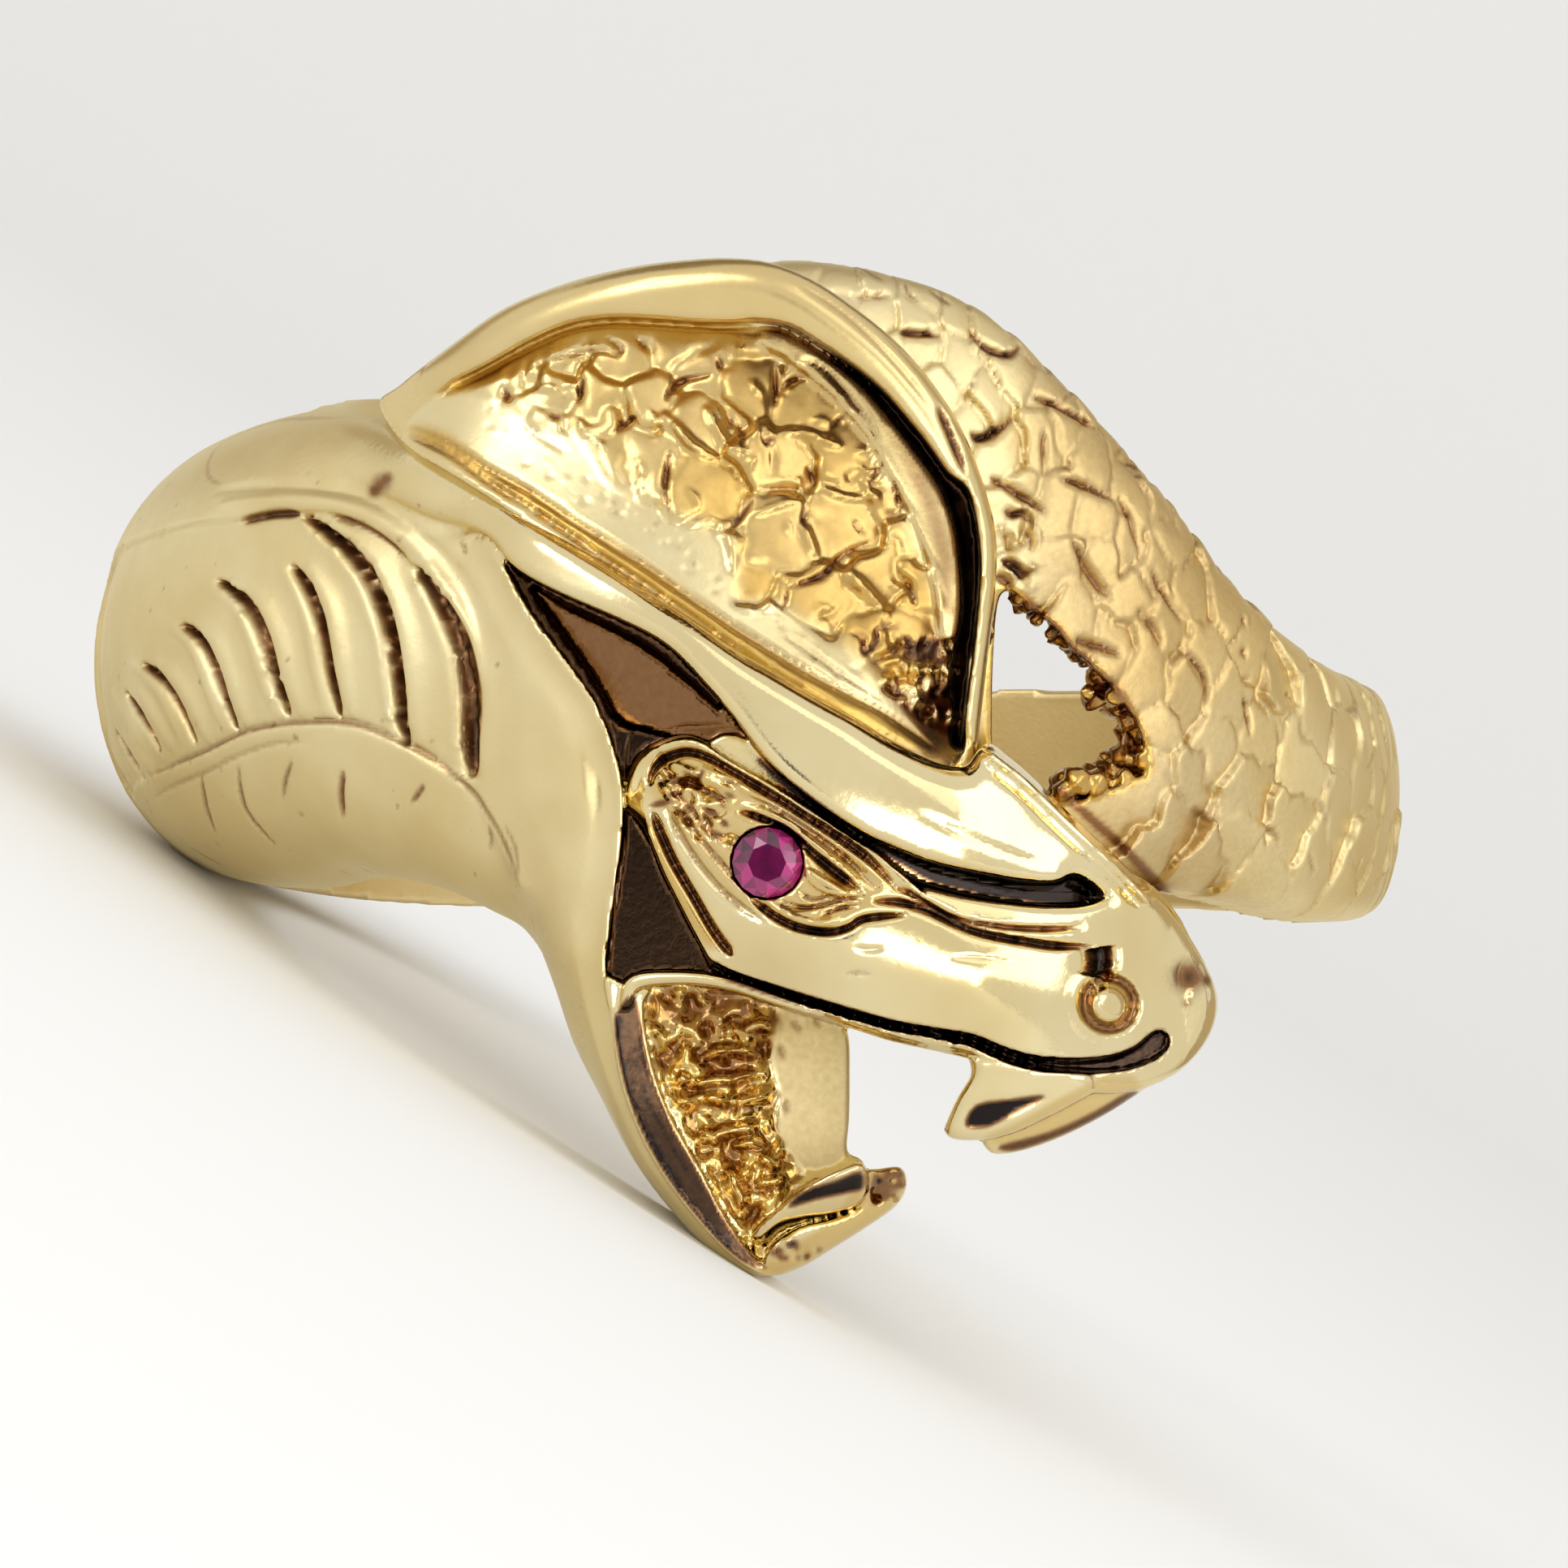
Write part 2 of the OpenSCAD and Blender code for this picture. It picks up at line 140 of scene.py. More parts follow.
def region(grid, poly, pad=100.0, n=4, smooth=True):
    """Signed distance to a closed outline, positive inside, cut off at pad."""
    line = curve(poly, n, True) if smooth else np.asarray(poly, float)
    dist = grid.new(pad)
    ring = np.vstack([line, line[:1]])
    for a, b in zip(ring[:-1], ring[1:]):
        w = grid.window(np.minimum(a, b)[:2] - pad, np.maximum(a, b)[:2] + pad)
        gx, gy = grid.mesh(w)
        dx, dy = b[0] - a[0], b[1] - a[1]
        t = np.clip(((gx - a[0]) * dx + (gy - a[1]) * dy) / (dx * dx + dy * dy + 1e-12), 0, 1)
        d = np.hypot(gx - a[0] - t * dx, gy - a[1] - t * dy)
        dist[w] = np.minimum(dist[w], d)
    inside = np.zeros(grid.shape, bool)
    for a, b in zip(ring[:-1], ring[1:]):
        if a[1] == b[1]:
            continue
        lo, hi = (a, b) if a[1] < b[1] else (b, a)
        j0 = int(math.ceil((lo[1] - grid.y0) / grid.sy))
        j1 = int(math.ceil((hi[1] - grid.y0) / grid.sy))
        for j in range(max(j0, 0), min(j1, grid.shape[1])):
            y = grid.y0 + j * grid.sy
            xc = lo[0] + (hi[0] - lo[0]) * (y - lo[1]) / (hi[1] - lo[1])
            i = min(max(int(math.ceil((xc - grid.x0) / grid.sx)), 0), grid.shape[0])
            inside[i:, j] ^= True
    return np.where(inside, dist, -dist).astype(np.float32)


def heights(grid, pts, box=None):
    """A smooth sheet through points (x, y, height): a thin-plate spline."""
    p = np.asarray(pts, float)
    xy, v = p[:, :2] / 100.0, p[:, 2]
    n = len(p)

    def kern(r2):
        return 0.5 * r2 * np.log(r2 + 1e-9)

    d2 = ((xy[:, None] - xy[None]) ** 2).sum(-1)
    m = np.zeros((n + 3, n + 3))
    m[:n, :n] = kern(d2) + 0.02 * np.eye(n)
    m[:n, n], m[:n, n + 1:] = 1, xy
    m[n, :n], m[n + 1:, :n] = 1, xy.T
    c = np.linalg.solve(m, np.concatenate([v, np.zeros(3)]))
    gx, gy = np.meshgrid(grid.x / 100.0, grid.y / 100.0, indexing="ij")
    out = c[n] + c[n + 1] * gx + c[n + 2] * gy
    for i in range(n):
        out += c[i] * kern((gx - xy[i, 0]) ** 2 + (gy - xy[i, 1]) ** 2)
    return out.astype(np.float32)


def pillow(d, rho, drop):
    """How far a rounded edge falls at the distance d inside it."""
    t = np.clip(1 - d / rho, 0, 1)
    return drop * (1 - np.sqrt(np.maximum(1 - t * t, 0)))


def stroke(grid, out, pts, w, a, tone=None, t_amt=0.0, kind="line", ends=0.35, scale=None, t_w=None, smooth=4):
    """Adds a groove (a < 0) or ridge (a > 0) of half width w along a path to the map out, and darkens the map tone.
    kind "edge" is the edge of a plate: high on the left of the path's direction, low on its right.
    Points may have a third column, which multiplies w."""
    p = np.asarray(pts, float)
    if p.shape[1] == 2:
        p = np.column_stack([p, np.ones(len(p))])
    line = curve(p, smooth) if smooth else p
    reach = 3.2 * w * line[:, 2].max()
    win = grid.window(line[:, :2].min(0) - reach, line[:, :2].max(0) + reach)
    gx, gy = grid.mesh(win)
    if gx.size == 0:
        return
    d, t, s = seg_dist(gx, gy, line)
    width = np.interp(t, np.linspace(0, 1, len(line)), line[:, 2]) * w
    fade = np.clip(np.minimum(t, 1 - t) / max(ends, 1e-3), 0, 1) ** 0.5 if ends else 1.0
    width = np.maximum(width * (0.2 + 0.8 * fade), 0.15 * w)
    if kind == "line":
        out[win] += (a * fade * np.exp(-(d / width) ** 2)).astype(np.float32)
    else:
        low = np.exp(-d / (1.6 * width)) * np.where(s > 0, -1.0, 0.0)
        high = np.exp(-d / (1.3 * width)) * np.where(s > 0, 0.0, 0.45)
        edge = np.clip(d / (0.18 * w), 0, 1)
        out[win] += (a * fade * (low + high) * edge).astype(np.float32)
    if tone is not None and t_amt:
        tw = width * (t_w or 1.0)
        tone[win] = np.maximum(tone[win], t_amt * fade * np.exp(-(d / tw) ** 3))


def bump(grid, out, c, r, a, power=1.0):
    """Adds a round bump or pit of radius r."""
    w = grid.window(np.array(c) - r * 2, np.array(c) + r * 2)
    gx, gy = grid.mesh(w)
    d = np.hypot(gx - c[0], gy - c[1]) / r
    out[w] += (a * np.exp(-(d ** 2) * 1.6) ** power).astype(np.float32)


def ball(grid, out, c, r, a):
    """Adds a half ball of radius r and height a."""
    w = grid.window(np.array(c) - r * 1.2, np.array(c) + r * 1.2)
    gx, gy = grid.mesh(w)
    d = np.hypot(gx - c[0], gy - c[1]) / r
    out[w] += (a * np.sqrt(np.maximum(1 - d * d, 0))).astype(np.float32)


def blur(m, k):
    """Box blur of half width k cells, twice."""
    for _ in range(2):
        for ax in (0, 1):
            c = np.cumsum(np.pad(m, [(k + 1, k) if i == ax else (0, 0) for i in (0, 1)], mode="edge"), axis=ax, dtype=np.float64)
            m = (np.take(c, range(2 * k + 1, c.shape[ax]), axis=ax) - np.take(c, range(0, c.shape[ax] - 2 * k - 1), axis=ax)) / (2 * k + 1)
    return m.astype(np.float32)


def smax(a, b, k):
    h = np.maximum(k - np.abs(a - b), 0) / k
    return np.maximum(a, b) + h * h * k * 0.25


def smin(a, b, k):
    return -smax(-a, -b, k)


# ---------------------------------------------------------------- the body
BODY = [
    (-9, 6.20, 8.52, 1.15, 0.30), (0, 3.80, 8.66, 1.60, 0.28), (9, 1.20, 8.44, 1.80, 0.26),
    (18, -0.60, 7.90, 1.90, 0.24), (27, -1.50, 6.62, 1.92, 0.22), (37, -1.72, 4.96, 1.85, 0.20),
    (48, -2.00, 3.30, 1.70, 0.18), (60, -2.30, 2.30, 1.55, 0.16), (75, -2.40, 1.88, 1.50, 0.15),
    (92, -2.36, 1.78, 1.50, 0.15), (115, -2.32, 1.75, 1.45, 0.16), (150, -2.30, 1.75, 1.45, 0.17),
    (185, -2.30, 1.80, 1.45, 0.18), (215, -2.28, 2.30, 1.70, 0.22), (235, -2.15, 3.50, 2.25, 0.28),
    (252, -1.95, 5.00, 2.78, 0.34), (264, -1.82, 5.80, 3.23, 0.38), (275, -1.80, 6.10, 3.33, 0.40),
    (287, -1.82, 6.28, 3.30, 0.40), (300, -1.78, 6.42, 3.21, 0.38), (313, -1.68, 6.50, 3.03, 0.35),
    (325, -2.30, 6.10, 2.83, 0.32), (333, -2.90, 4.70, 2.68, 0.30), (339, -3.20, 3.40, 2.48, 0.30),
]
_fine = curve(BODY, 40)
# on the left the same body, but full up to the head, where the throat and ridge grow out of it
LEFT_BODY = [r for r in BODY if r[0] <= 300] + [
    (311, -1.60, 6.50, 3.08, 0.36), (322, -1.82, 6.42, 2.95, 0.34), (330, -2.30, 6.30, 2.92, 0.32), (339, -2.95, 6.10, 2.92, 0.30), (346, -3.2, 6.0, 2.92, 0.30)]
_left = curve(LEFT_BODY, 40)


def body_r(phi, z, rows=None):
    """Radius of the wrapped body's outer surface at an angle in degrees (any turn) and a height."""
    t = _fine if rows is None else rows
    a = np.where(phi < -9, phi + 360, phi)
    lo, hi, h, sq = (np.interp(a, t[:, 0], t[:, i]) for i in (1, 2, 3, 4))
    c = (2 * z - lo - hi) / (hi - lo)
    return 8.6 + (BORE + h - 8.6) * np.maximum(1 - c * c, 0) ** sq


def left_body_r(phi, z):
    return body_r(phi, z, _left)


def unroll(pts, rfun=None, r=None):
    """Photo points to (angle in degrees, height), on the surface rfun or at radius r."""
    out = []
    for q in pts:
        rad = r or 12.0
        for _ in range(12):
            y = -math.sqrt(max(rad * rad - ((q[0] - 966) / PPM * (CAM_D - rad) / CAM_D + CAM_X) ** 2, 0.04))
            for _ in range(6):
                k = (CAM_D + y) / CAM_D
                x = CAM_X + (q[0] - 966) / PPM * k
                x = max(min(x, rad * 0.999), -rad * 0.999)
                y = -math.sqrt(rad * rad - x * x)
            z = (966 - q[1]) / PPM * k
            phi = math.degrees(math.atan2(x, -y))
            if rfun is None:
                break
            rad = 0.5 * rad + 0.5 * float(np.clip(rfun(np.array(phi), np.array(z)), 10.2, 12.6))
        out.append([phi, z] + list(q[2:]))
    return out


# Unrolled maps: x is the angle in mm at a radius of 12 mm, y the height.
MMDEG = 12.0 * math.pi / 180
LEFT = Grid(-112 * MMDEG, -16 * MMDEG, -3.7, 7.2, 0.03, 0.03)
BAND = Grid(-12 * MMDEG, 266 * MMDEG, -2.8, 9.0, 0.035, 0.035)


def on_left(pts):
    return [[q[0] * MMDEG] + q[1:] for q in unroll(pts, left_body_r)]


def on_band(pts):
    return [[q[0] * MMDEG] + q[1:] for q in unroll(pts, body_r)]


def radius_map(grid, rows):
    gx, gy = np.meshgrid(grid.x, grid.y, indexing="ij")
    r = body_r(gx / MMDEG, gy, rows)
    sx, sy = np.gradient(r, grid.sx, grid.sy)
    slope = np.sqrt(1 + np.clip(sx * sx + sy * sy, 0, 25))
    return r.astype(np.float32), slope.astype(np.float32)


rng = np.random.default_rng(7)
left_r, left_slope = radius_map(LEFT, _left)
band_r, band_slope = radius_map(BAND, _fine)
left_d, left_tone, left_satin = LEFT.new(), LEFT.new(), LEFT.new(0.55)
band_d, band_tone, band_satin = BAND.new(), BAND.new(), BAND.new(0.6)

# The sunk rib panel: its edge runs from the left under the thin rim, and down
# the last groove
RIB_PANEL = [(120, 700), (180, 662), (240, 645), (290, 640), (330, 632), (370, 630), (410, 633), (450, 650), (480, 670),
             (507, 697), (532, 730), (557, 770), (576, 820), (584, 870), (588, 920), (586, 958),
             (560, 952), (520, 930), (490, 915), (450, 897), (420, 890), (375, 889), (330, 893), (290, 903), (245, 925),
             (200, 945), (165, 965), (135, 975), (118, 900), (112, 800)]
panel_e = region(LEFT, on_left(RIB_PANEL), pad=1.2)
left_d -= (0.13 * np.clip(panel_e / 0.09 + 0.5, 0, 1)).astype(np.float32)
LOWER = [(120, 980), (165, 968), (200, 948), (245, 928), (290, 906), (330, 896), (375, 892), (420, 893), (450, 900),
         (490, 918), (520, 933), (550, 953), (580, 978), (600, 1003), (620, 1033), (640, 1073), (651, 1100),
         (640, 1150), (560, 1130), (440, 1110), (300, 1120), (170, 1060)]
lower_e = region(LEFT, on_left(LOWER), pad=1.2)
left_d -= (0.05 * np.clip(lower_e / 0.10 + 0.5, 0, 1)).astype(np.float32)
for pts, w, a, t in [
    ([(365, 633, .3), (390, 652, .55), (420, 675, .8), (445, 705, 1), (460, 735, 1.05), (472, 770, 1.05), (480, 810, 1), (485, 850, .95), (488, 890, .8), (497, 918, .5)], 0.13, -0.42, 1.0),
    ([(507, 697, .25), (530, 725, .6), (549, 757, .9), (565, 790, 1.05), (574, 830, 1.15), (577, 870, 1.15), (575, 910, 1), (579, 957, .5)], 0.19, -0.50, 1.0),
    ([(350, 695, .3), (371, 725, .9), (386, 760, 1), (394, 800, .9), (401, 840, .9), (412, 885, .5)], 0.105, -0.32, 1.0),
    ([(256, 714, .25), (290, 737, .75), (309, 765, 1.1), (322, 800, 1.1), (333, 840, .9), (348, 882, .5)], 0.125, -0.38, 1.0),
    ([(211, 768, .25), (238, 788, .85), (256, 825, 1.1), (268, 860, .9), (283, 900, .5)], 0.11, -0.34, 1.0),
    ([(165, 818, .3), (191, 837, .9), (212, 872, 1), (232, 916, .5)], 0.105, -0.30, 1.0),
    ([(144, 852, .4), (168, 890, 1), (189, 926, .5)], 0.115, -0.28, 1.0),
    ([(132, 900, .4), (150, 932, 1), (168, 957, .5)], 0.12, -0.28, 1.0),
]:
    stroke(LEFT, left_d, on_left(pts), w * 0.92, a, left_tone, 0.90 * t, ends=0.06, t_w=1.12)
    # each rib swells a little beside its groove
    stroke(LEFT, left_d, on_left([(q[0] + 19, q[1]) for q in pts]), w * 1.8, 0.10, ends=0.3)
    stroke(LEFT, left_d, on_left([(q[0] - 15, q[1]) for q in pts]), w * 1.3, 0.06, ends=0.3)
    # rough casting in the groove
    dots = on_left(curve(pts, 7).tolist())
    for i, q in enumerate(dots):
        inside = np.clip(min(i / len(dots) - 0.12, 0.97 - i / len(dots)) / 0.15, 0, 1)
        c = (q[0] + rng.normal(0, 0.4) * w, q[1] + rng.normal(0, 0.05))
        bump(LEFT, left_d, c, rng.uniform(0.05, 0.09), rng.uniform(-0.08, 0.16) * (w > 0.09) * inside)
        bump(LEFT, left_tone, c, rng.uniform(0.03, 0.07), rng.uniform(-0.6, 0.1) * inside)
    if w > 0.12:
        for q in on_left(curve(pts, 16).tolist())[6:-6]:
            c = (q[0] + rng.normal(0, 0.55) * w, q[1] + rng.normal(0, 0.05))
            bump(LEFT, left_d, c, rng.uniform(0.05, 0.08), rng.uniform(-0.05, 0.13))
            bump(LEFT, left_tone, c, 0.05, rng.uniform(-0.35, 0.0))
stroke(LEFT, left_d, on_left([(165, 965), (200, 945), (245, 925), (290, 903), (330, 893), (375, 889), (420, 890), (450, 897),
                              (490, 915), (520, 930), (550, 950), (580, 975), (600, 1000), (620, 1030), (640, 1070), (650, 1095)]),
       0.055, -0.10, left_tone, 0.42, ends=0.1)
stroke(LEFT, left_d, on_left([(182, 985), (215, 965), (250, 950), (290, 930), (335, 915), (380, 912)]), 0.05, -0.05, left_tone, 0.22, ends=0.2)
stroke(LEFT, left_d, on_left([(290, 642), (330, 633), (365, 632)]), 0.06, -0.12, left_tone, 0.8, ends=0.2)
stroke(LEFT, left_d, on_left([(400, 633), (440, 645), (470, 662), (500, 688)]), 0.055, -0.08, left_tone, 0.7, ends=0.2)
stroke(LEFT, left_d, on_left([(265, 606), (300, 601), (350, 600), (400, 603), (450, 612), (500, 640), (540, 675), (575, 708), (592, 740)]),
       0.07, -0.06, ends=0.15)
stroke(LEFT, left_d, on_left([(270, 622), (300, 617), (350, 614), (400, 617), (450, 631), (490, 655), (525, 688), (560, 735), (585, 790), (596, 850)]),
       0.13, 0.09, ends=0.2)
# stain and freckles of the satin surface
stroke(LEFT, LEFT.new(), on_left([(276, 598), (258, 588), (258, 566), (275, 545), (310, 528), (350, 517), (430, 515)]), 0.04, 0.0, left_tone, 0.22, ends=0.1)
for _ in range(90):
    q = (rng.uniform(-98, -27) * MMDEG, rng.uniform(-1.5, 5.4))
    bump(LEFT, left_tone, q, rng.uniform(0.03, 0.055), rng.uniform(0.2, 0.5))
    bump(LEFT, left_d, q, 0.045, -0.02)
for k in range(3):
    left_d += blur(rng.normal(0, 1, LEFT.shape).astype(np.float32), 3 + 4 * k) * (0.012 + 0.03 * k)
for pts, w, a, t in [
    ([(243, 952), (248, 990), (263, 1028)], 0.05, -0.09, 0.5), ([(291, 940), (291, 970), (300, 1000), (322, 1027), (341, 1045)], 0.05, -0.09, 0.5),
    ([(357, 935), (347, 960), (345, 985)], 0.045, -0.07, 0.45), ([(420, 948), (416, 975), (420, 1010)], 0.06, -0.10, 0.6),
    ([(503, 990), (512, 978), (521, 966)], 0.05, -0.08, 0.55), ([(228, 1043), (250, 1056), (274, 1068)], 0.045, -0.05, 0.3),
    ([(600, 1015), (604, 1030), (602, 1048)], 0.05, -0.06, 0.4), ([(622, 1012), (640, 1045), (648, 1085)], 0.05, -0.05, 0.3),
    ([(575, 665), (577, 675), (582, 683)], 0.045, -0.07, 0.5), ([(352, 560), (354, 562), (356, 564)], 0.03, -0.0, 0.0),
]:
    stroke(LEFT, left_d, on_left(pts), w, a, left_tone, t, ends=0.3)
for c, r, a, t in [((617, 820), 0.06, -0.04, 0.4)]:
    q = on_left([c])[0][:2]
    bump(LEFT, left_d, q, r, a)
    bump(LEFT, left_tone, q, r, t)

fade_out = np.clip((LEFT.x / MMDEG + 97.5) / 10, 0, 1)[:, None].astype(np.float32)
left_d *= fade_out
left_tone *= fade_out

# Scales on the body at the right: plates on a slanted lattice, each tilted a
# little on its own, fading towards the back
bx, by = np.meshgrid(BAND.x, BAND.y, indexing="ij")
BAND_PLATES = [
    (975, 330), (1035, 345), (1085, 338), (1030, 378), (1075, 388), (1140, 352), (1128, 385), (1190, 375), (1140, 432), (1100, 440),
    (1222, 400), (1185, 445), (1160, 480), (1250, 455), (1222, 490), (1290, 430), (1322, 452), (1290, 475), (1345, 490), (1240, 562),
    (1190, 520), (1315, 525), (1282, 540), (1380, 530), (1345, 565), (1262, 610), (1400, 560), (1425, 570), (1300, 625), (1345, 640),
    (1430, 625), (1400, 610), (1362, 690), (1390, 680), (1470, 610), (1300, 700), (1445, 665), (1500, 650), (1330, 770), (1425, 700),
    (1470, 730), (1395, 735), (1525, 690), (1370, 790), (1445, 770), (1520, 745), (1560, 720), (1480, 800), (1540, 790), (1415, 830),
    (1590, 770), (1460, 860), (1515, 860), (1575, 830), (1630, 810), (1430, 900), (1500, 920), (1560, 900), (1620, 880), (1670, 850),
    (1470, 960), (1540, 970), (1600, 940), (1660, 930), (1450, 1010), (1520, 1030), (1590, 1010), (1650, 1000), (1420, 960), (1560, 1070),
    (1620, 1070), (1490, 1060),
]
centres = np.array([q[:2] for q in on_band(BAND_PLATES)])
more = []
for k, phi in enumerate(np.arange(66, 118, 5.0)):
    for j in range(5):
        more.append([(phi + 2.5 * (j % 2)) * MMDEG + rng.normal(0, 0.06), -2.1 + 1.0 * j + rng.normal(0, 0.06)])
centres = np.vstack([centres, more])


def cells(gx, gy, centres, reach):
    """Distance to the nearest and the second nearest centre, and which one is nearest."""
    f1 = np.full(gx.shape, 1e3)
    f2 = np.full(gx.shape, 1e3)
    who = np.zeros(gx.shape, int)
    for i, c in enumerate(centres):
        d = np.hypot(gx - c[0], gy - c[1])
        m = d < f1
        f2 = np.where(m, f1, np.minimum(f2, d))
        f1 = np.where(m, d, f1)
        who[m] = i
    return f1, f2, who


def wander(shape, k, amount):
    """A smooth random map."""
    m = blur(rng.normal(0, 1, shape).astype(np.float32), k)
    return m / m.std() * amount


keep = bx[:, 0] < 122 * MMDEG
sub = (slice(0, int(keep.sum())), slice(None))
gx, gy = bx[sub], by[sub]
f1, f2, who = cells(gx + wander(gx.shape, 5, 0.075), gy + wander(gx.shape, 5, 0.075), centres, 2)
tilt = rng.normal(0, 0.12, (len(centres), 2)) + np.array([-0.07, 0.05])
lift = rng.normal(0, 0.03, len(centres))
strength = np.interp(gx / MMDEG, [20, 36, 60, 85, 115], [1.0, 1.0, 0.55, 0.22, 0.0])
edge = np.clip((f2 - f1) / np.interp(gx / MMDEG, [0, 55, 90], [0.17, 0.20, 0.26]), 0, 1)
edge = edge * edge * (3 - 2 * edge)
broken = np.clip(0.5 + 0.9 * np.sin(3.1 * gx + 1.7 * np.sin(2.3 * gy)) * np.sin(2.7 * gy + 1.3 * np.sin(1.9 * gx)), 0, 1)
seams = np.clip(1 - (f2 - f1) / 0.11, 0, 1) * np.interp(gx / MMDEG, [14, 22, 60, 85, 110], [0.3, 0.42, 0.34, 0.16, 0.0]) * broken
band_tone[sub] = np.maximum(band_tone[sub], seams.astype(np.float32))
dome = 0.034 * (edge - 1) + 0.03 * np.clip(1 - (f1 / 0.7) ** 2, 0, 1) + lift[who]
lean = tilt[who, 0] * (gx - centres[who, 0]) + tilt[who, 1] * (gy - centres[who, 1])
band_d[sub] += (strength * (dome + lean)).astype(np.float32)
for pts, w, a, t in [
    ([(1105, 410), (1130, 411), (1163, 414)], 0.07, -0.16, 1.0), ([(1050, 365), (1075, 367), (1100, 366)], 0.05, -0.08, 0.5),
    ([(1120, 345), (1122, 362), (1135, 372)], 0.05, -0.08, 0.45), ([(1060, 322), (1075, 335), (1095, 345)], 0.05, -0.07, 0.35),
    ([(1195, 408), (1208, 425), (1228, 436), (1247, 437), (1262, 425)], 0.075, -0.18, 1.0),
    ([(1150, 355), (1165, 368), (1175, 375)], 0.05, -0.08, 0.5), ([(1232, 380), (1240, 396), (1262, 412)], 0.05, -0.10, 0.5),
    ([(1197, 533), (1210, 541), (1230, 532), (1256, 512)], 0.075, -0.18, 1.0), ([(1272, 488), (1300, 500), (1325, 513), (1352, 528)], 0.06, -0.16, 0.95),
    ([(1218, 588), (1245, 603), (1268, 617), (1290, 632)], 0.075, -0.18, 0.9), ([(1288, 532), (1286, 552), (1290, 585)], 0.06, -0.12, 0.6),
    ([(1303, 588), (1330, 597), (1355, 608), (1375, 618)], 0.06, -0.16, 0.95), ([(1378, 612), (1390, 632), (1398, 655), (1408, 680)], 0.06, -0.14, 0.8),
    ([(1318, 662), (1335, 690), (1352, 715), (1372, 742)], 0.07, -0.17, 0.8), ([(1418, 700), (1430, 722), (1440, 740), (1462, 768)], 0.06, -0.14, 0.85),
    ([(1400, 752), (1420, 770), (1432, 795)], 0.07, -0.14, 0.6), ([(1325, 788), (1350, 795), (1385, 808)], 0.07, -0.16, 0.8),
    ([(1452, 795), (1470, 812), (1484, 832), (1486, 855), (1482, 878)], 0.06, -0.14, 0.8), ([(1388, 572), (1400, 574), (1412, 580)], 0.05, -0.10, 0.7),
    ([(1308, 452), (1318, 462), (1338, 472)], 0.05, -0.10, 0.5), ([(1467, 690), (1475, 678), (1479, 662)], 0.05, -0.08, 0.4),
    ([(1530, 860), (1540, 876), (1544, 905)], 0.06, -0.14, 1.0), ([(1526, 768), (1530, 764), (1534, 770)], 0.05, -0.10, 0.7),
    ([(1530, 808), (1534, 802), (1537, 812)], 0.05, -0.10, 0.6), ([(1582, 862), (1588, 856), (1595, 862)], 0.04, -0.08, 0.5),
    ([(1614, 800), (1628, 825), (1640, 852), (1650, 880)], 0.055, -0.14, 0.9), ([(1562, 782), (1568, 788), (1573, 792)], 0.04, -0.08, 0.4),
    ([(1500, 990), (1498, 1005), (1500, 1022)], 0.05, -0.06, 0.4), ([(1575, 890), (1580, 915), (1578, 940)], 0.05, -0.05, 0.25),
    ([(1562, 1042), (1567, 1030), (1572, 1015)], 0.05, -0.06, 0.35), ([(1610, 1050), (1616, 1065), (1622, 1076)], 0.05, -0.05, 0.3),
    ([(1670, 1075), (1676, 1062), (1681, 1052)], 0.05, -0.05, 0.3), ([(1440, 1043), (1447, 1042), (1453, 1044)], 0.045, -0.06, 0.4),
    ([(1430, 950), (1450, 975), (1470, 992)], 0.05, -0.05, 0.3), ([(1545, 840), (1540, 838), (1533, 842)], 0.04, -0.08, 0.4),
]:
    stroke(BAND, band_d, on_band(pts), w, a, band_tone, t, ends=0.3, t_w=0.7)

for pts, w, a, t in [([(1236, 628), (1248, 634), (1262, 632), (1274, 644)], 0.065, -0.14, 0.9), ([(1262, 652), (1270, 664), (1268, 682)], 0.05, -0.10, 0.6),
                     ([(1232, 690), (1246, 696), (1262, 708), (1272, 704)], 0.08, -0.18, 1.0), ([(1230, 708), (1242, 716), (1252, 724)], 0.06, -0.14, 0.85),
                     ([(1236, 658), (1246, 668), (1244, 680)], 0.05, -0.10, 0.5)]:
    stroke(BAND, band_d, on_band(pts), w, a, band_tone, t, ends=0.35, t_w=0.9)
    stroke(BAND, band_d, on_band([(x + 8, y - 9) for x, y in pts]), 0.06, 0.10, ends=0.35)
for _ in range(16):
    q = on_band([(rng.uniform(1230, 1276), rng.uniform(650, 730))])[0][:2]
    bump(BAND, band_d, q, rng.uniform(0.06, 0.11), rng.uniform(-0.12, 0.16))
# ------------------------------------------------------- the front's regions
R_ = {}


def part(name, poly, top, rho=0.4, drop=0.4, pad=110.0, smooth=True):
    """A region of the front: its outline, and its top surface with rounded edges."""
    e = region(PHOTO, poly, pad=pad, smooth=smooth) / PXMM
    h = heights(PHOTO, top) - pillow(e, rho, drop)
    R_[name] = [h.astype(np.float32), e.astype(np.float32)]
    return R_[name]


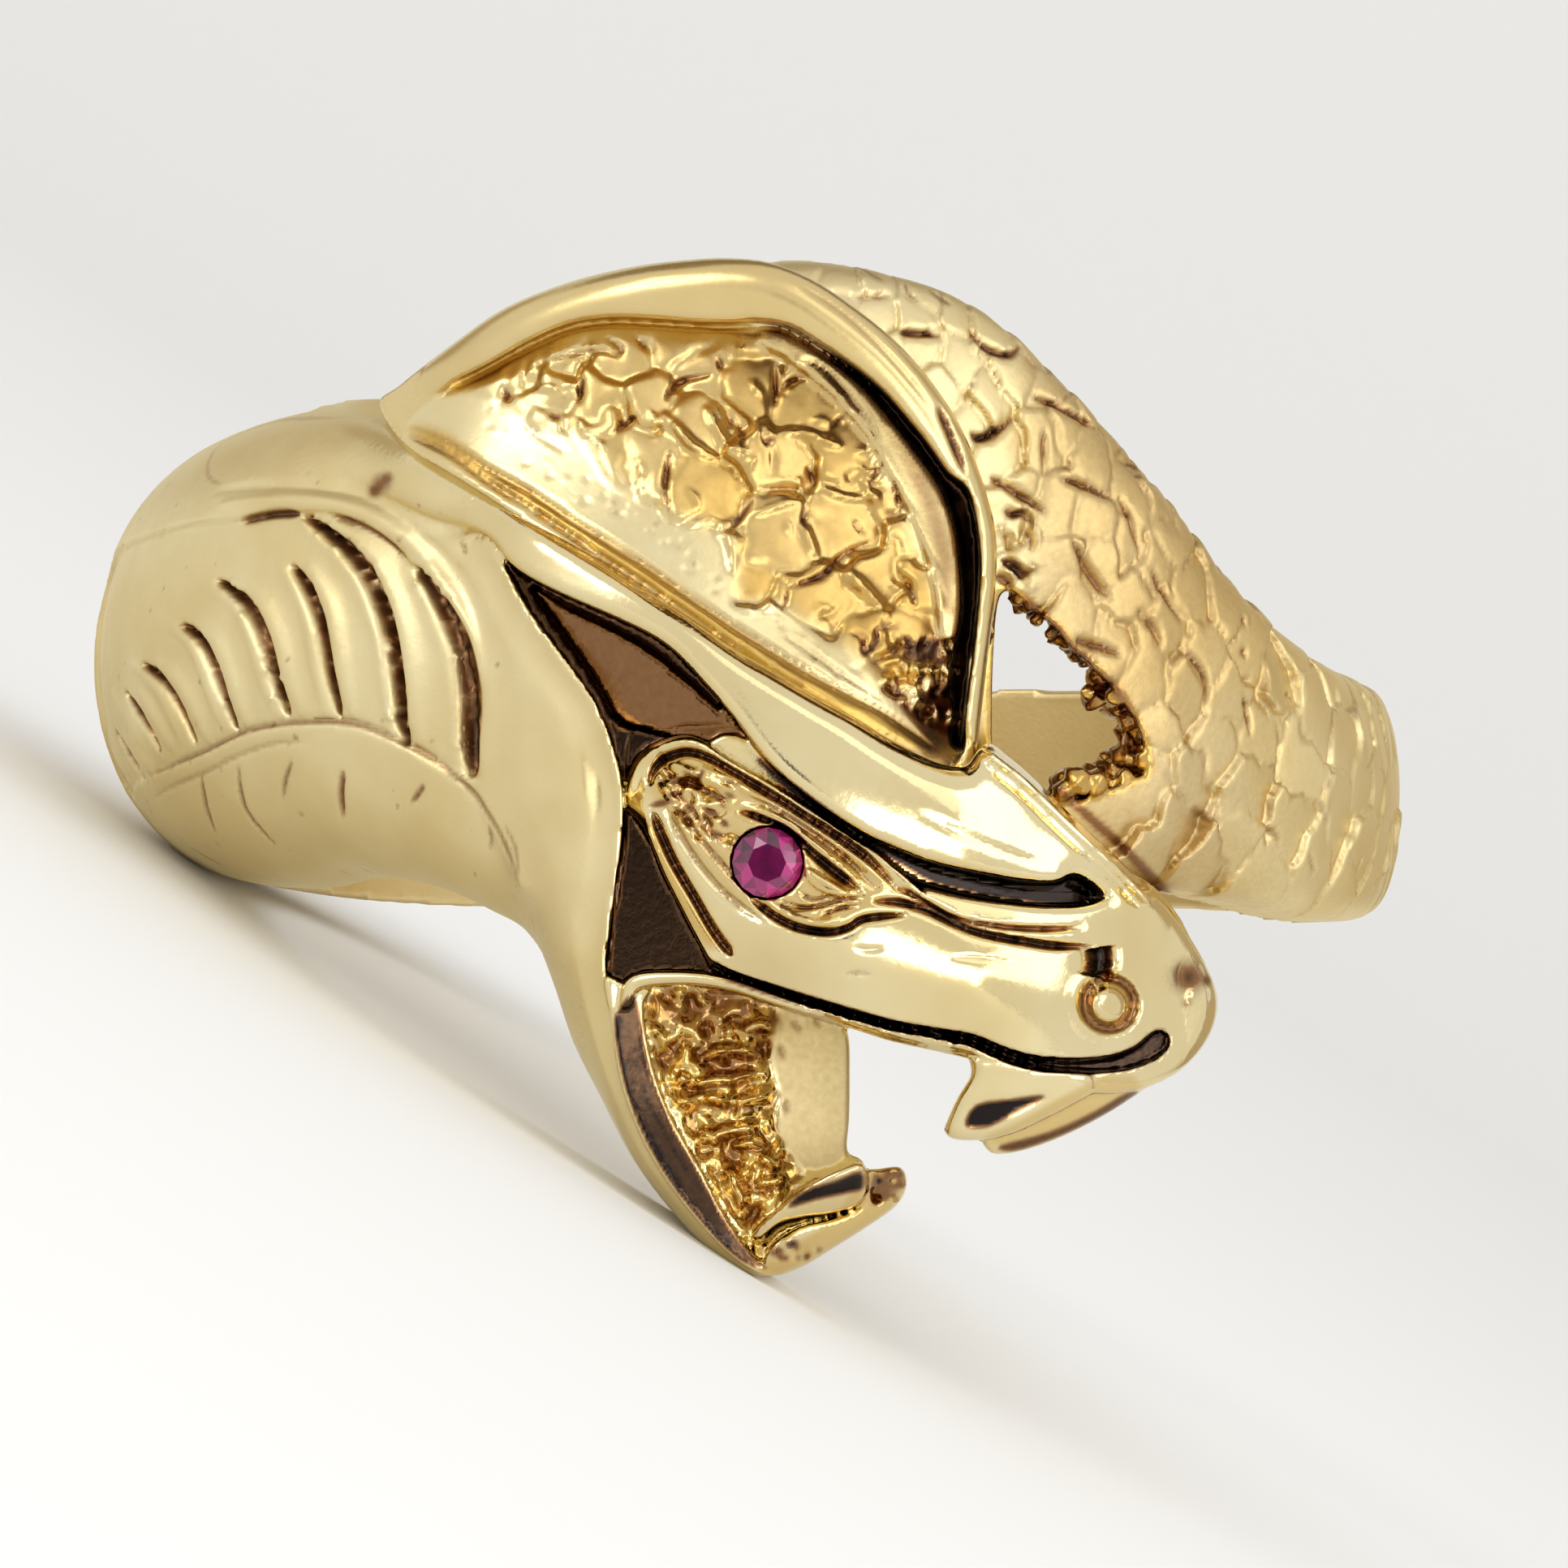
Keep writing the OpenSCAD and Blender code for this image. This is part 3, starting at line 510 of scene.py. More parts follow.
RIDGE = [(392, 500), (430, 506), (470, 520), (508, 541), (550, 566), (600, 597), (650, 632), (700, 663), (750, 695), (800, 728),
         (850, 760), (900, 793), (950, 822), (1000, 852), (1050, 880), (1100, 912), (1150, 938), (1188, 944), (1206, 922),
         (1220, 916), (1242, 932), (1265, 951), (1295, 980), (1322, 1006), (1352, 1034), (1380, 1060), (1405, 1086), (1428, 1110),
         (1446, 1145), (1425, 1170), (1385, 1155), (1360, 1128), (1352, 1106), (1337, 1089), (1320, 1080), (1300, 1087), (1260, 1087),
         (1210, 1078), (1150, 1063), (1100, 1043), (1060, 1024), (1000, 984), (955, 946), (930, 918), (905, 885), (873, 847),
         (835, 806), (800, 781), (750, 757), (700, 735), (655, 712), (628, 692), (604, 662), (575, 650), (535, 640), (495, 622),
         (450, 600), (405, 575), (380, 540)]
part("ridge", RIDGE, [
    (400, 520, 9.9), (420, 560, 10.9), (450, 550, 10.9), (470, 590, 11.5), (500, 560, 11.6), (520, 610, 11.95), (560, 590, 12.1), (580, 635, 12.3), (640, 655, 12.75), (700, 690, 12.95),
    (760, 725, 13.02), (830, 775, 13.05), (900, 830, 13.05), (960, 890, 13.05), (1030, 935, 13.05), (1100, 985, 13.05), (1180, 1010, 13.0),
    (1250, 1040, 12.85), (1320, 1060, 12.65), (1380, 1100, 12.3), (1425, 1140, 12.0),
    (1150, 1050, 12.98), (1250, 1080, 12.75), (1200, 950, 12.75), (1300, 1005, 12.5)], rho=0.42, drop=0.62)

UPPER_JAW = [(768, 992), (770, 970), (776, 950), (786, 932), (803, 918), (825, 909), (845, 906), (866, 912), (885, 926), (905, 940),
             (950, 965), (1000, 997), (1050, 1027), (1085, 1052), (1110, 1072), (1140, 1088), (1200, 1103), (1260, 1112), (1310, 1115),
             (1345, 1112), (1375, 1100), (1405, 1092), (1428, 1107), (1452, 1135), (1472, 1165), (1490, 1198), (1500, 1230),
             (1496, 1262), (1480, 1292), (1455, 1318), (1425, 1335), (1395, 1345), (1350, 1347), (1300, 1337), (1250, 1327),
             (1215, 1314), (1195, 1299), (1150, 1290), (1100, 1279), (1050, 1263), (1000, 1247), (950, 1230), (900, 1212), (880, 1198),
             (866, 1172), (840, 1122), (815, 1072), (793, 1020)]
part("upper_jaw", UPPER_JAW, [
    (780, 960, 11.9), (845, 925, 12.15), (850, 1000, 12.45), (900, 960, 12.5), (945, 1063, 12.62), (1000, 1010, 12.65), (900, 1130, 12.45),
    (960, 1180, 12.6), (1050, 1170, 12.82), (1050, 1080, 12.72), (1130, 1110, 12.72), (1200, 1200, 12.85), (1200, 1125, 12.7),
    (1340, 1215, 12.5), (1340, 1135, 12.5), (1430, 1180, 11.95), (1480, 1230, 11.35), (1440, 1300, 11.8), (1300, 1320, 12.25),
    (1200, 1290, 12.5), (1100, 1255, 12.55), (950, 1215, 12.3)], rho=0.22, drop=0.20)
RIDGE_LOW = [(604, 662), (628, 692), (655, 712), (700, 735), (750, 757), (800, 781), (835, 806), (873, 847), (905, 885), (930, 918), (955, 946), (1000, 984),
             (1060, 1024), (1100, 1043), (1150, 1063), (1210, 1078), (1260, 1087), (1300, 1087)]
gx, gy = np.meshgrid(PHOTO.x, PHOTO.y, indexing="ij")
low_near = np.clip(1.25 - seg_dist(gx, gy, curve(RIDGE_LOW, 2))[0] / PXMM / 0.6, 0, 1)
R_["ridge"][0] = (R_["ridge"][0] + (pillow(R_["ridge"][1], 0.42, 0.62) - pillow(R_["ridge"][1], 0.22, 0.16)) * low_near).astype(np.float32)
HOOD = [(468, 494), (490, 477), (512, 459), (559, 423), (623, 379), (703, 347), (783, 328), (850, 320), (900, 318), (950, 324),
        (1000, 344), (1050, 377), (1100, 417), (1140, 460), (1175, 510), (1197, 555), (1213, 600), (1226, 650), (1228, 700),
        (1223, 760), (1216, 820), (1209, 880), (1203, 930), (1200, 960), (1150, 955), (1100, 930), (1050, 898), (1000, 868), (950, 836),
        (900, 806), (850, 773), (800, 741), (750, 708), (700, 676), (650, 645), (600, 611), (550, 580), (508, 555), (480, 525)]
INNER = [(545, 484), (560, 470), (600, 450), (650, 421), (700, 399), (750, 391), (800, 392), (850, 396), (900, 397), (930, 396),
         (970, 404), (1010, 427), (1050, 453), (1085, 482), (1110, 509), (1140, 545), (1168, 584), (1190, 607), (1203, 645),
         (1207, 700), (1203, 760), (1196, 820), (1189, 880), (1187, 925), (1150, 960), (1080, 950), (1000, 905), (900, 850), (800, 780),
         (700, 710), (600, 640), (540, 600), (500, 560), (505, 520)]
hood_e = region(PHOTO, HOOD) / PXMM
inner_e = region(PHOTO, INNER) / PXMM
rim_e = np.minimum(hood_e, -inner_e)
rim_h = heights(PHOTO, [
    (475, 500, 11.1), (505, 480, 11.6), (540, 460, 11.9), (600, 425, 12.1), (700, 378, 12.2), (800, 360, 12.25), (900, 358, 12.28), (1000, 385, 12.3),
    (1080, 440, 12.3), (1150, 530, 12.25), (1205, 620, 12.2), (1216, 700, 12.18), (1205, 850, 12.0), (1195, 930, 11.95)])
# the rim falls away outwards at the top, and its right side is a thin upright wall
rim_h = rim_h - pillow(hood_e, 0.55, 0.55) - pillow(-inner_e, 0.16, 0.14)
R_["rim"] = [rim_h.astype(np.float32), rim_e.astype(np.float32)]
floor_h = heights(PHOTO, [
    (500, 515, 11.75), (560, 478, 11.65), (600, 470, 11.6), (660, 440, 11.45), (660, 500, 11.7), (740, 415, 11.3), (740, 490, 11.5), (800, 430, 11.2), (850, 420, 11.05),
    (850, 540, 11.5), (900, 440, 11.05), (950, 560, 11.35), (1000, 470, 10.95), (900, 640, 11.7), (1000, 680, 11.5), (1050, 580, 11.15), (1100, 640, 11.12),
    (1130, 740, 11.22), (1080, 780, 11.55), (1150, 810, 11.3), (1150, 900, 11.35), (1185, 930, 11.4), (1165, 620, 11.12), (1190, 720, 11.2), (1080, 480, 11.02), (960, 405, 10.95),
    (545, 545, 12.1), (650, 612, 12.35), (750, 675, 12.4), (850, 742, 12.4), (950, 808, 12.35), (1050, 866, 12.25), (1130, 925, 12.0),
    (640, 560, 12.05), (720, 600, 12.08), (820, 665, 12.08), (920, 730, 12.05), (1010, 790, 12.0), (1080, 840, 11.9)])
R_["floor"] = [floor_h, hood_e.astype(np.float32)]

THROAT = [(603, 664), (625, 705), (650, 750), (675, 785), (700, 818), (722, 848), (738, 876), (752, 910), (763, 950), (767, 990),
          (765, 1040), (758, 1090), (752, 1140), (746, 1180), (748, 1215), (757, 1262), (766, 1325), (786, 1385), (818, 1445), (866, 1508),
          (908, 1550), (945, 1570), (915, 1569), (873, 1540), (825, 1489), (778, 1425), (739, 1349), (707, 1285), (683, 1214), (665, 1165),
          (650, 1120), (636, 1085), (615, 1035), (600, 1005), (592, 970), (592, 920), (592, 870), (584, 820), (565, 770), (540, 728),
          (520, 690), (540, 650)]
part("throat", THROAT, [
    (545, 680, 11.75), (590, 740, 11.98), (600, 690, 12.15), (650, 780, 12.42), (640, 870, 12.2), (700, 880, 12.42), (620, 950, 12.0),
    (700, 980, 12.3), (750, 960, 12.3), (640, 1040, 11.85), (700, 1080, 12.15), (745, 1080, 12.2), (670, 1120, 11.8), (715, 1180, 12.05),
    (745, 1170, 12.15), (700, 1230, 11.8), (740, 1260, 12.05), (725, 1310, 11.75), (760, 1340, 12.0), (760, 1390, 11.7),
    (800, 1430, 11.85), (820, 1475, 11.6), (860, 1510, 11.6), (905, 1555, 11.4)], rho=0.75, drop=0.95)
# the throat's edge above the recess is crisp, and its other edges are round
thr_e = R_["throat"][1]
EDGE_R = [(603, 664), (625, 705), (650, 750), (675, 785), (700, 818), (722, 848), (738, 876), (752, 910), (763, 950), (767, 990),
          (765, 1040), (758, 1090), (752, 1140), (746, 1180), (748, 1215), (757, 1262), (766, 1325), (786, 1385), (818, 1445), (866, 1508),
          (908, 1550), (945, 1570)]
gx, gy = np.meshgrid(PHOTO.x, PHOTO.y, indexing="ij")
d_edge = seg_dist(gx, gy, curve(EDGE_R, 2))[0] / PXMM
SOFT_L = [(540, 650), (520, 690), (540, 728), (565, 770), (584, 820), (592, 870), (592, 920), (592, 970), (600, 1005), (615, 1035), (640, 1090)]
d_soft = seg_dist(gx, gy, curve(SOFT_L, 2))[0] / PXMM
w_soft = np.clip(1 - d_soft / 0.5, 0, 1)
thr_top = heights(PHOTO, [
    (545, 680, 11.75), (590, 740, 11.98), (600, 690, 12.15), (650, 780, 12.42), (640, 870, 12.2), (700, 880, 12.42), (620, 950, 12.0),
    (700, 980, 12.3), (750, 960, 12.3), (640, 1040, 11.85), (700, 1080, 12.15), (745, 1080, 12.2), (670, 1120, 11.8), (715, 1180, 12.05),
    (745, 1170, 12.15), (700, 1230, 11.8), (740, 1260, 12.05), (725, 1310, 11.75), (760, 1340, 12.0), (760, 1390, 11.7),
    (800, 1430, 11.85), (820, 1475, 11.6), (860, 1510, 11.6), (905, 1555, 11.4)])
far_from_edge = np.clip(d_edge / 0.5, 0, 1)
R_["throat"][0] = (thr_top - pillow(thr_e, 0.75, 0.95) * far_from_edge * (1 - 0.8 * w_soft) - pillow(d_edge, 0.10, 0.08)).astype(np.float32)

# The lower jaw: its dark chamfer, the lip at the mouth corner, the rough floor
# and the smooth wall behind it
part("chamfer", [(745, 1205), (772, 1212), (786, 1204), (806, 1210), (793, 1238), (799, 1290), (812, 1340), (834, 1390), (863, 1440),
                 (893, 1497), (927, 1545), (950, 1560), (952, 1571), (938, 1570), (905, 1550), (863, 1508), (815, 1445), (783, 1385),
                 (763, 1325), (754, 1262)],
     [(765, 1230, 12.12), (760, 1260, 12.12), (785, 1250, 11.98), (772, 1330, 12.1), (800, 1310, 11.95), (800, 1400, 12.05), (825, 1385, 11.9),
      (835, 1450, 11.95), (870, 1470, 11.8), (880, 1510, 11.8), (915, 1530, 11.6), (940, 1562, 11.45)], rho=0.05, drop=0.04)
part("mouth_floor", [(782, 1222), (800, 1212), (850, 1206), (905, 1214), (950, 1230), (1000, 1246), (1036, 1262), (1046, 1280),
                     (1047, 1330), (1046, 1380), (1044, 1418), (1062, 1430), (1072, 1460), (1050, 1500), (1000, 1535), (950, 1566), (915, 1545),
                     (880, 1500), (845, 1440), (812, 1370), (790, 1300)],
     [(800, 1240, 11.1), (830, 1300, 10.95), (850, 1380, 10.9), (900, 1280, 10.6), (900, 1400, 10.7), (930, 1480, 10.9), (940, 1330, 10.35),
      (990, 1280, 10.1), (1000, 1350, 10.1), (1035, 1300, 9.95), (1035, 1400, 10.0), (1000, 1440, 10.3), (1020, 1500, 10.7), (960, 1550, 10.9)],
     rho=0.06, drop=0.06)
part("near_lower_fang", [(925, 1525), (938, 1507), (958, 1490), (985, 1467), (1015, 1449), (1042, 1437), (1060, 1432), (1069, 1443), (1069, 1468),
                         (1056, 1486), (1025, 1497), (990, 1504), (962, 1514), (942, 1530)],
     [(940, 1520, 11.7), (980, 1490, 11.85), (1020, 1468, 11.9), (1055, 1455, 11.85)], rho=0.20, drop=0.35)
part("far_lower_fang", [(1062, 1445), (1085, 1440), (1108, 1438), (1117, 1452), (1113, 1473), (1098, 1491), (1060, 1517), (1020, 1542),
                        (990, 1560), (955, 1572), (940, 1560), (950, 1535), (985, 1512), (1030, 1500), (1062, 1482)],
     [(960, 1555, 11.45), (1000, 1535, 11.25), (1050, 1500, 11.1), (1095, 1465, 11.0)], rho=0.16, drop=0.25)
part("near_upper_fang", [(1200, 1300), (1196, 1325), (1180, 1352), (1168, 1378), (1164, 1394), (1178, 1404), (1215, 1404), (1250, 1396), (1285, 1380),
                         (1320, 1362), (1352, 1340), (1330, 1310), (1260, 1300)],
     [(1210, 1320, 12.35), (1180, 1390, 12.0), (1240, 1370, 12.15), (1300, 1350, 12.2), (1280, 1320, 12.35)], rho=0.20, drop=0.30)
part("far_upper_fang", [(1212, 1402), (1216, 1416), (1230, 1422), (1262, 1417), (1305, 1402), (1350, 1380), (1388, 1357), (1408, 1338), (1360, 1325),
                        (1290, 1365), (1245, 1388)],
     [(1225, 1410, 11.2), (1290, 1390, 11.3), (1370, 1350, 11.5)], rho=0.14, drop=0.2)
chamfer_e = region(PHOTO, [(757, 1262), (762, 1245), (774, 1228), (784, 1230), (790, 1262), (796, 1300), (810, 1345), (832, 1395), (861, 1445), (891, 1500), (925, 1546), (944, 1562),
                           (910, 1551), (868, 1509), (820, 1447), (788, 1387), (767, 1325)], n=3) / PXMM
# the thin lip along the mouth
LIP = [(771, 1236, 0.9), (776, 1217, 1.1), (790, 1208, 1.2), (820, 1205, 1.1), (860, 1206, 1.0), (905, 1214, 0.95), (950, 1229, 0.9), (1000, 1245, 0.85),
       (1050, 1260, 0.85), (1100, 1276, 0.85), (1150, 1287, 0.85), (1196, 1298, 0.8)]
lip_line = curve(LIP, 4)
win = PHOTO.window((740, 1180), (1230, 1330))
gx, gy = PHOTO.mesh(win)
d, t, _ = seg_dist(gx, gy, lip_line)
lw = np.interp(t, np.linspace(0, 1, len(lip_line)), lip_line[:, 2]) * 8.5
lip_e = PHOTO.new(-1.0)
lip_e[win] = (lw - d) / PXMM
lip_h = PHOTO.new(0.0)
lip_h[win] = 12.28 - 0.10 * (d / lw) ** 2
R_["lip"] = [lip_h, lip_e]

# The recess at the mouth corner is flat and square to the camera
recess_e = region(PHOTO, [(585, 650), (640, 680), (700, 715), (800, 765), (900, 850), (975, 945), (960, 1000), (900, 1010), (880, 1100),
                          (900, 1180), (895, 1215), (820, 1225), (760, 1235), (720, 1220), (700, 1140), (705, 1000), (690, 900),
                          (640, 820), (590, 730)]) / PXMM
SEEN = [(603, 664), (628, 692), (655, 712), (700, 735), (750, 757), (800, 781), (835, 806), (873, 847), (905, 885), (925, 915), (880, 930), (820, 1050), (840, 1120),
        (880, 1200), (745, 1210), (752, 1140), (765, 1040), (767, 990), (763, 950), (752, 910), (738, 876), (722, 848), (700, 818), (675, 785), (650, 750), (625, 705)]
seen_e = (region(PHOTO, SEEN, n=2) / PXMM).astype(np.float32)
away = np.clip(-seen_e / 0.45, 0, 1)
gx, gy = np.meshgrid(PHOTO.x, PHOTO.y, indexing="ij")
join_w = (0.05 + away * np.clip((690 - gx) / 90, 0.1, 1) * 0.72).astype(np.float32)
join_t = (0.04 + away * 0.28).astype(np.float32)
FACET = [(655, 722), (700, 748), (750, 772), (800, 800), (850, 840), (905, 888), (935, 925), (915, 945), (880, 935), (845, 915),
         (800, 900), (762, 888), (740, 850), (716, 812), (690, 775)]
facet_e = region(PHOTO, FACET, n=3) / PXMM
gx, gy = np.meshgrid(PHOTO.x, PHOTO.y, indexing="ij")
recess_y = 10.05 + (0.16 + 0.0011 * (gx - 700) - 0.0009 * (gy - 750)) * np.clip(facet_e / 0.05 + 0.5, 0, 1)
recess_y = recess_y.astype(np.float32)

# ------------------------------------------------------ strokes on the front
front_d, front_tone, front_satin, front_warm = PHOTO.new(), PHOTO.new(), PHOTO.new(), PHOTO.new()
hood_d, hood_tone, hood_warm = PHOTO.new(), PHOTO.new(), PHOTO.new()


def cut(pts, w, a, t=0.0, ends=0.25, t_w=0.85, kind="line"):
    stroke(PHOTO, front_d, pts, w, a, front_tone, t, kind=kind, ends=ends, t_w=t_w)


def hcut(pts, w, a, t=0.0, ends=0.25, t_w=None, kind="line"):
    stroke(PHOTO, hood_d, pts, w, a, hood_tone, t, kind=kind, ends=ends, t_w=t_w)


# dark slit under the head's top, and the slit along the lip: cut deep and painted black inside, painted shade
SLIT = [(935, 936), (1000, 986), (1055, 1024), (1105, 1047), (1150, 1064), (1210, 1077), (1260, 1086), (1300, 1088), (1322, 1080), (1340, 1088), (1350, 1101), (1339, 1110),
        (1300, 1111), (1250, 1107), (1200, 1098), (1150, 1085), (1118, 1067), (1090, 1052), (1052, 1032), (1000, 995), (965, 965)]
LIPSLIT = [(874, 1184), (900, 1198), (935, 1210), (1000, 1230), (1050, 1245), (1100, 1259), (1150, 1268), (1198, 1276), (1232, 1290), (1270, 1302), (1320, 1306), (1368, 1302), (1400, 1290),
           (1418, 1275), (1430, 1271), (1439, 1279), (1436, 1292), (1420, 1305), (1385, 1317), (1330, 1321), (1270, 1316), (1230, 1303), (1195, 1287), (1150, 1277), (1100, 1268), (1050, 1254),
           (1000, 1239), (935, 1219), (895, 1205), (874, 1192)]
for poly, deep, black in ((SLIT, 1.05, 1.0), (LIPSLIT, 0.75, 0.90)):
    e = region(PHOTO, poly, n=3) / PXMM
    front_d -= (deep * np.clip(e / 0.10 + 0.25, 0, 1)).astype(np.float32)
    front_tone[:] = np.maximum(front_tone, black * np.clip(e / 0.05 + 1.15, 0, 1))
# a brown spot on the neck
for c, r, a, t in [((470, 596), 15, -0.05, 0.52), ((461, 606), 9, -0.05, 0.60), ((478, 588), 8, -0.03, 0.40)]:
    bump(PHOTO, front_d, c, r, a)
    bump(PHOTO, front_tone, c, r, t)
# rims and grooves of the eye's capsule
cut([(772, 985), (777, 960), (788, 937), (815, 919), (845, 912), (868, 918), (900, 939), (950, 968), (1000, 1000), (1050, 1030), (1085, 1055), (1112, 1079), (1142, 1110)],
    6, 0.11, ends=0.05)
cut([(800, 968), (806, 947), (825, 932), (850, 927), (880, 937), (920, 960), (960, 984), (1000, 1010), (1040, 1035), (1072, 1060), (1105, 1095)],
    4.2, -0.22, 0.95, ends=0.12)
cut([(860, 945), (900, 962), (950, 991), (1000, 1021), (1040, 1046), (1072, 1070), (1098, 1096)], 5, 0.10, ends=0.2)
cut([(926, 983), (954, 995), (990, 1017), (1021, 1040), (1050, 1065), (1080, 1096)], 3.3, -0.12, 0.62, ends=0.25)
cut([(915, 992), (945, 1003), (980, 1025), (1010, 1048), (1040, 1073), (1064, 1098)], 5, 0.09, ends=0.2)
cut([(908, 999, .6), (937, 1008, .8), (970, 1022, .9), (994, 1044, 1), (1014, 1062, 1.25), (1036, 1079, 1.3), (1060, 1097, .7)], 4.2, -0.20, 1.0, ends=0.12)
white_e = region(PHOTO, [(994, 1068), (1010, 1077), (1032, 1090), (1050, 1103), (1030, 1104), (1006, 1096), (993, 1082)], n=2) / PXMM
front_d += (0.09 * np.clip(white_e / 0.05 + 0.3, 0, 1)).astype(np.float32)
cut([(922, 1100), (935, 1115), (955, 1130), (985, 1144), (1020, 1149), (1045, 1143), (1062, 1133), (1088, 1129), (1118, 1127)], 4, -0.20, 1.0, ends=0.15)
cut([(942, 1106), (960, 1121), (985, 1133), (1012, 1137), (1035, 1132)], 5, 0.10, ends=0.25)
cut([(960, 1108), (985, 1118), (1010, 1116), (1040, 1108), (1065, 1106)], 3.2, -0.11, 0.7, ends=0.3)
cut([(1012, 1128), (1030, 1120), (1060, 1115)], 3, -0.10, 0.75, ends=0.3)
cut([(985, 1098), (1000, 1108), (1030, 1104)], 3, -0.08, 0.6, ends=0.3)
cut([(1098, 1092), (1120, 1100), (1140, 1112), (1165, 1126), (1195, 1136), (1240, 1143), (1290, 1145), (1338, 1141)], 3.6, -0.14, 0.85, ends=0.15)
cut([(1075, 1110), (1110, 1112), (1140, 1120), (1165, 1132), (1195, 1145), (1225, 1153), (1262, 1160), (1300, 1166), (1350, 1166)], 4.6, -0.21, 1.0, ends=0.12)
cut([(1150, 1122), (1200, 1140), (1260, 1151), (1335, 1153)], 6, 0.06, ends=0.2)
# lower left edge of the capsule
cut([(795, 1018), (815, 1068), (840, 1118), (866, 1168), (884, 1192)], 6, 0.10, ends=0.1)
cut([(803, 1000), (828, 1058), (855, 1105), (880, 1148), (903, 1178)], 5, -0.22, 0.9, ends=0.1)
cut([(818, 990), (845, 1040), (872, 1078), (902, 1108), (945, 1138)], 5, -0.10, 0.35, ends=0.2)
cut([(835, 985), (862, 1032), (890, 1065), (912, 1090)], 4, -0.09, 0.45, ends=0.2)
# bars and the rough corner behind the eye
cut([(814, 950), (840, 962), (870, 974), (900, 990)], 3.6, -0.13, 0.72, ends=0.2)
cut([(818, 939), (850, 949), (885, 966), (908, 980)], 4.5, 0.08, ends=0.2)
cut([(826, 975), (845, 990), (862, 1012), (880, 1038)], 3.6, -0.12, 0.65, ends=0.25)
for _ in range(46):
    c = (rng.uniform(812, 905), 0)
    c = (c[0], rng.uniform(940 + (c[0] - 812) * 0.25, 1000 + (c[0] - 812) * 0.75))
    a = rng.uniform(-0.5, 2.2)
    l = rng.uniform(8, 19)
    stroke(PHOTO, front_d, [(c[0] - l * math.cos(a), c[1] - l * math.sin(a)), (c[0] + l * math.cos(a), c[1] + l * math.sin(a))], rng.uniform(4.0, 6.0),
           rng.uniform(-0.14, 0.13), front_tone, rng.choice([0.0, 0.0, 0.5, 0.75]), ends=0.4, smooth=0, t_w=0.8)
# nostrils: a groove ring round a ball, and pits; the pits and the groove are painted dark, painted shade
cut([(1366 + 31 * math.cos(a), 1237 + 31 * math.sin(a)) for a in np.linspace(-2.2, 4.1, 22)], 7.5, -0.20, 0.56, ends=0.02, t_w=0.7)
cut([(1366 + 41 * math.cos(a), 1237 + 41 * math.sin(a)) for a in np.linspace(-2.6, 4.0, 22)], 7, 0.05, ends=0.02)
ball(PHOTO, front_d, (1366, 1239), 22, 0.20)
cut([(1352, 1168, 1), (1354, 1185, 1), (1350, 1204, .9)], 17, -0.42, 1.0, ends=0.02, t_w=0.8)
bump(PHOTO, front_d, (1466, 1200), 14, -0.40)
bump(PHOTO, front_tone, (1464, 1204), 23, 0.8)
bump(PHOTO, front_tone, (1488, 1208), 8, 0.5)
bump(PHOTO, front_tone, (1462, 1236), 7, 0.45)
ball(PHOTO, front_d, (1477, 1227), 15, 0.24)
# marks on the bright cheek
for pts in [[(1172, 1180), (1200, 1180), (1230, 1184), (1250, 1188)], [(1040, 1200), (1056, 1198), (1075, 1200)], [(1052, 1168), (1070, 1170), (1090, 1168)]]:
    cut(pts, 3, -0.03, 0.22, ends=0.3)
bump(PHOTO, front_tone, (1131, 1160), 4, 0.4)
# creases of the ridge
cut([(600, 612), (640, 636), (700, 668), (750, 697), (810, 745), (870, 788)], 3.5, -0.05, 0.18, ends=0.25)
cut([(1130, 1000), (1180, 1025), (1240, 1050), (1300, 1068)], 5, -0.035, 0.12, ends=0.3)
cut([(1216, 926), (1261, 960), (1317, 1014), (1375, 1068), (1420, 1116)], 6, 0.26, ends=0.06)
cut([(1212, 942), (1255, 974), (1312, 1028), (1369, 1083), (1408, 1122)], 6, -0.08, ends=0.15)
# painted shade along the gap between the head's edge and the scaled body, and along the hole's upper right edge
gap_painted_shade = PHOTO.new()
stroke(PHOTO, PHOTO.new(), [(1226, 900), (1270, 940), (1328, 994), (1386, 1047), (1434, 1098), (1456, 1135)], 7, 0.0, gap_painted_shade, 0.62, ends=0.06, t_w=1.0)
stroke(PHOTO, PHOTO.new(), [(1240, 730), (1262, 742), (1290, 766), (1316, 794), (1350, 828), (1384, 862), (1408, 906)], 10, 0.0, gap_painted_shade, 0.5, ends=0.2, t_w=1.0)
for q in [(1266, 752), (1296, 780), (1330, 812), (1362, 846), (1396, 890)]:
    bump(PHOTO, gap_painted_shade, q, 11, 0.35)
# the jaw's chamfer ends in a bright inner edge. The chamfer is painted near black, darkest along its outer edge: a
# painted reflection of the dark camera side. The fangs' flats are painted dark too
cut([(798, 1238), (803, 1290), (817, 1340), (840, 1390), (868, 1440), (898, 1497), (930, 1543)], 5, 0.07, ends=0.1)
front_tone[:] = np.maximum(front_tone, 0.86 * np.clip(chamfer_e / 0.04 + 0.5, 0, 1))
chamfer_edge_painted_reflection = PHOTO.new()
for pts, w, t in [([(756, 1240), (753, 1285), (764, 1340), (788, 1397), (820, 1453), (857, 1506), (910, 1554)], 26, 1.0), ([(781, 1300), (796, 1350), (820, 1398), (850, 1450)], 4.5, 0.92)]:
    stroke(PHOTO, PHOTO.new(), pts, w, 0.0, chamfer_edge_painted_reflection, t, ends=0.06, t_w=1.0)
front_tone[:] = np.maximum(front_tone, chamfer_edge_painted_reflection * np.clip(chamfer_e / 0.04 + 0.5, 0, 1))
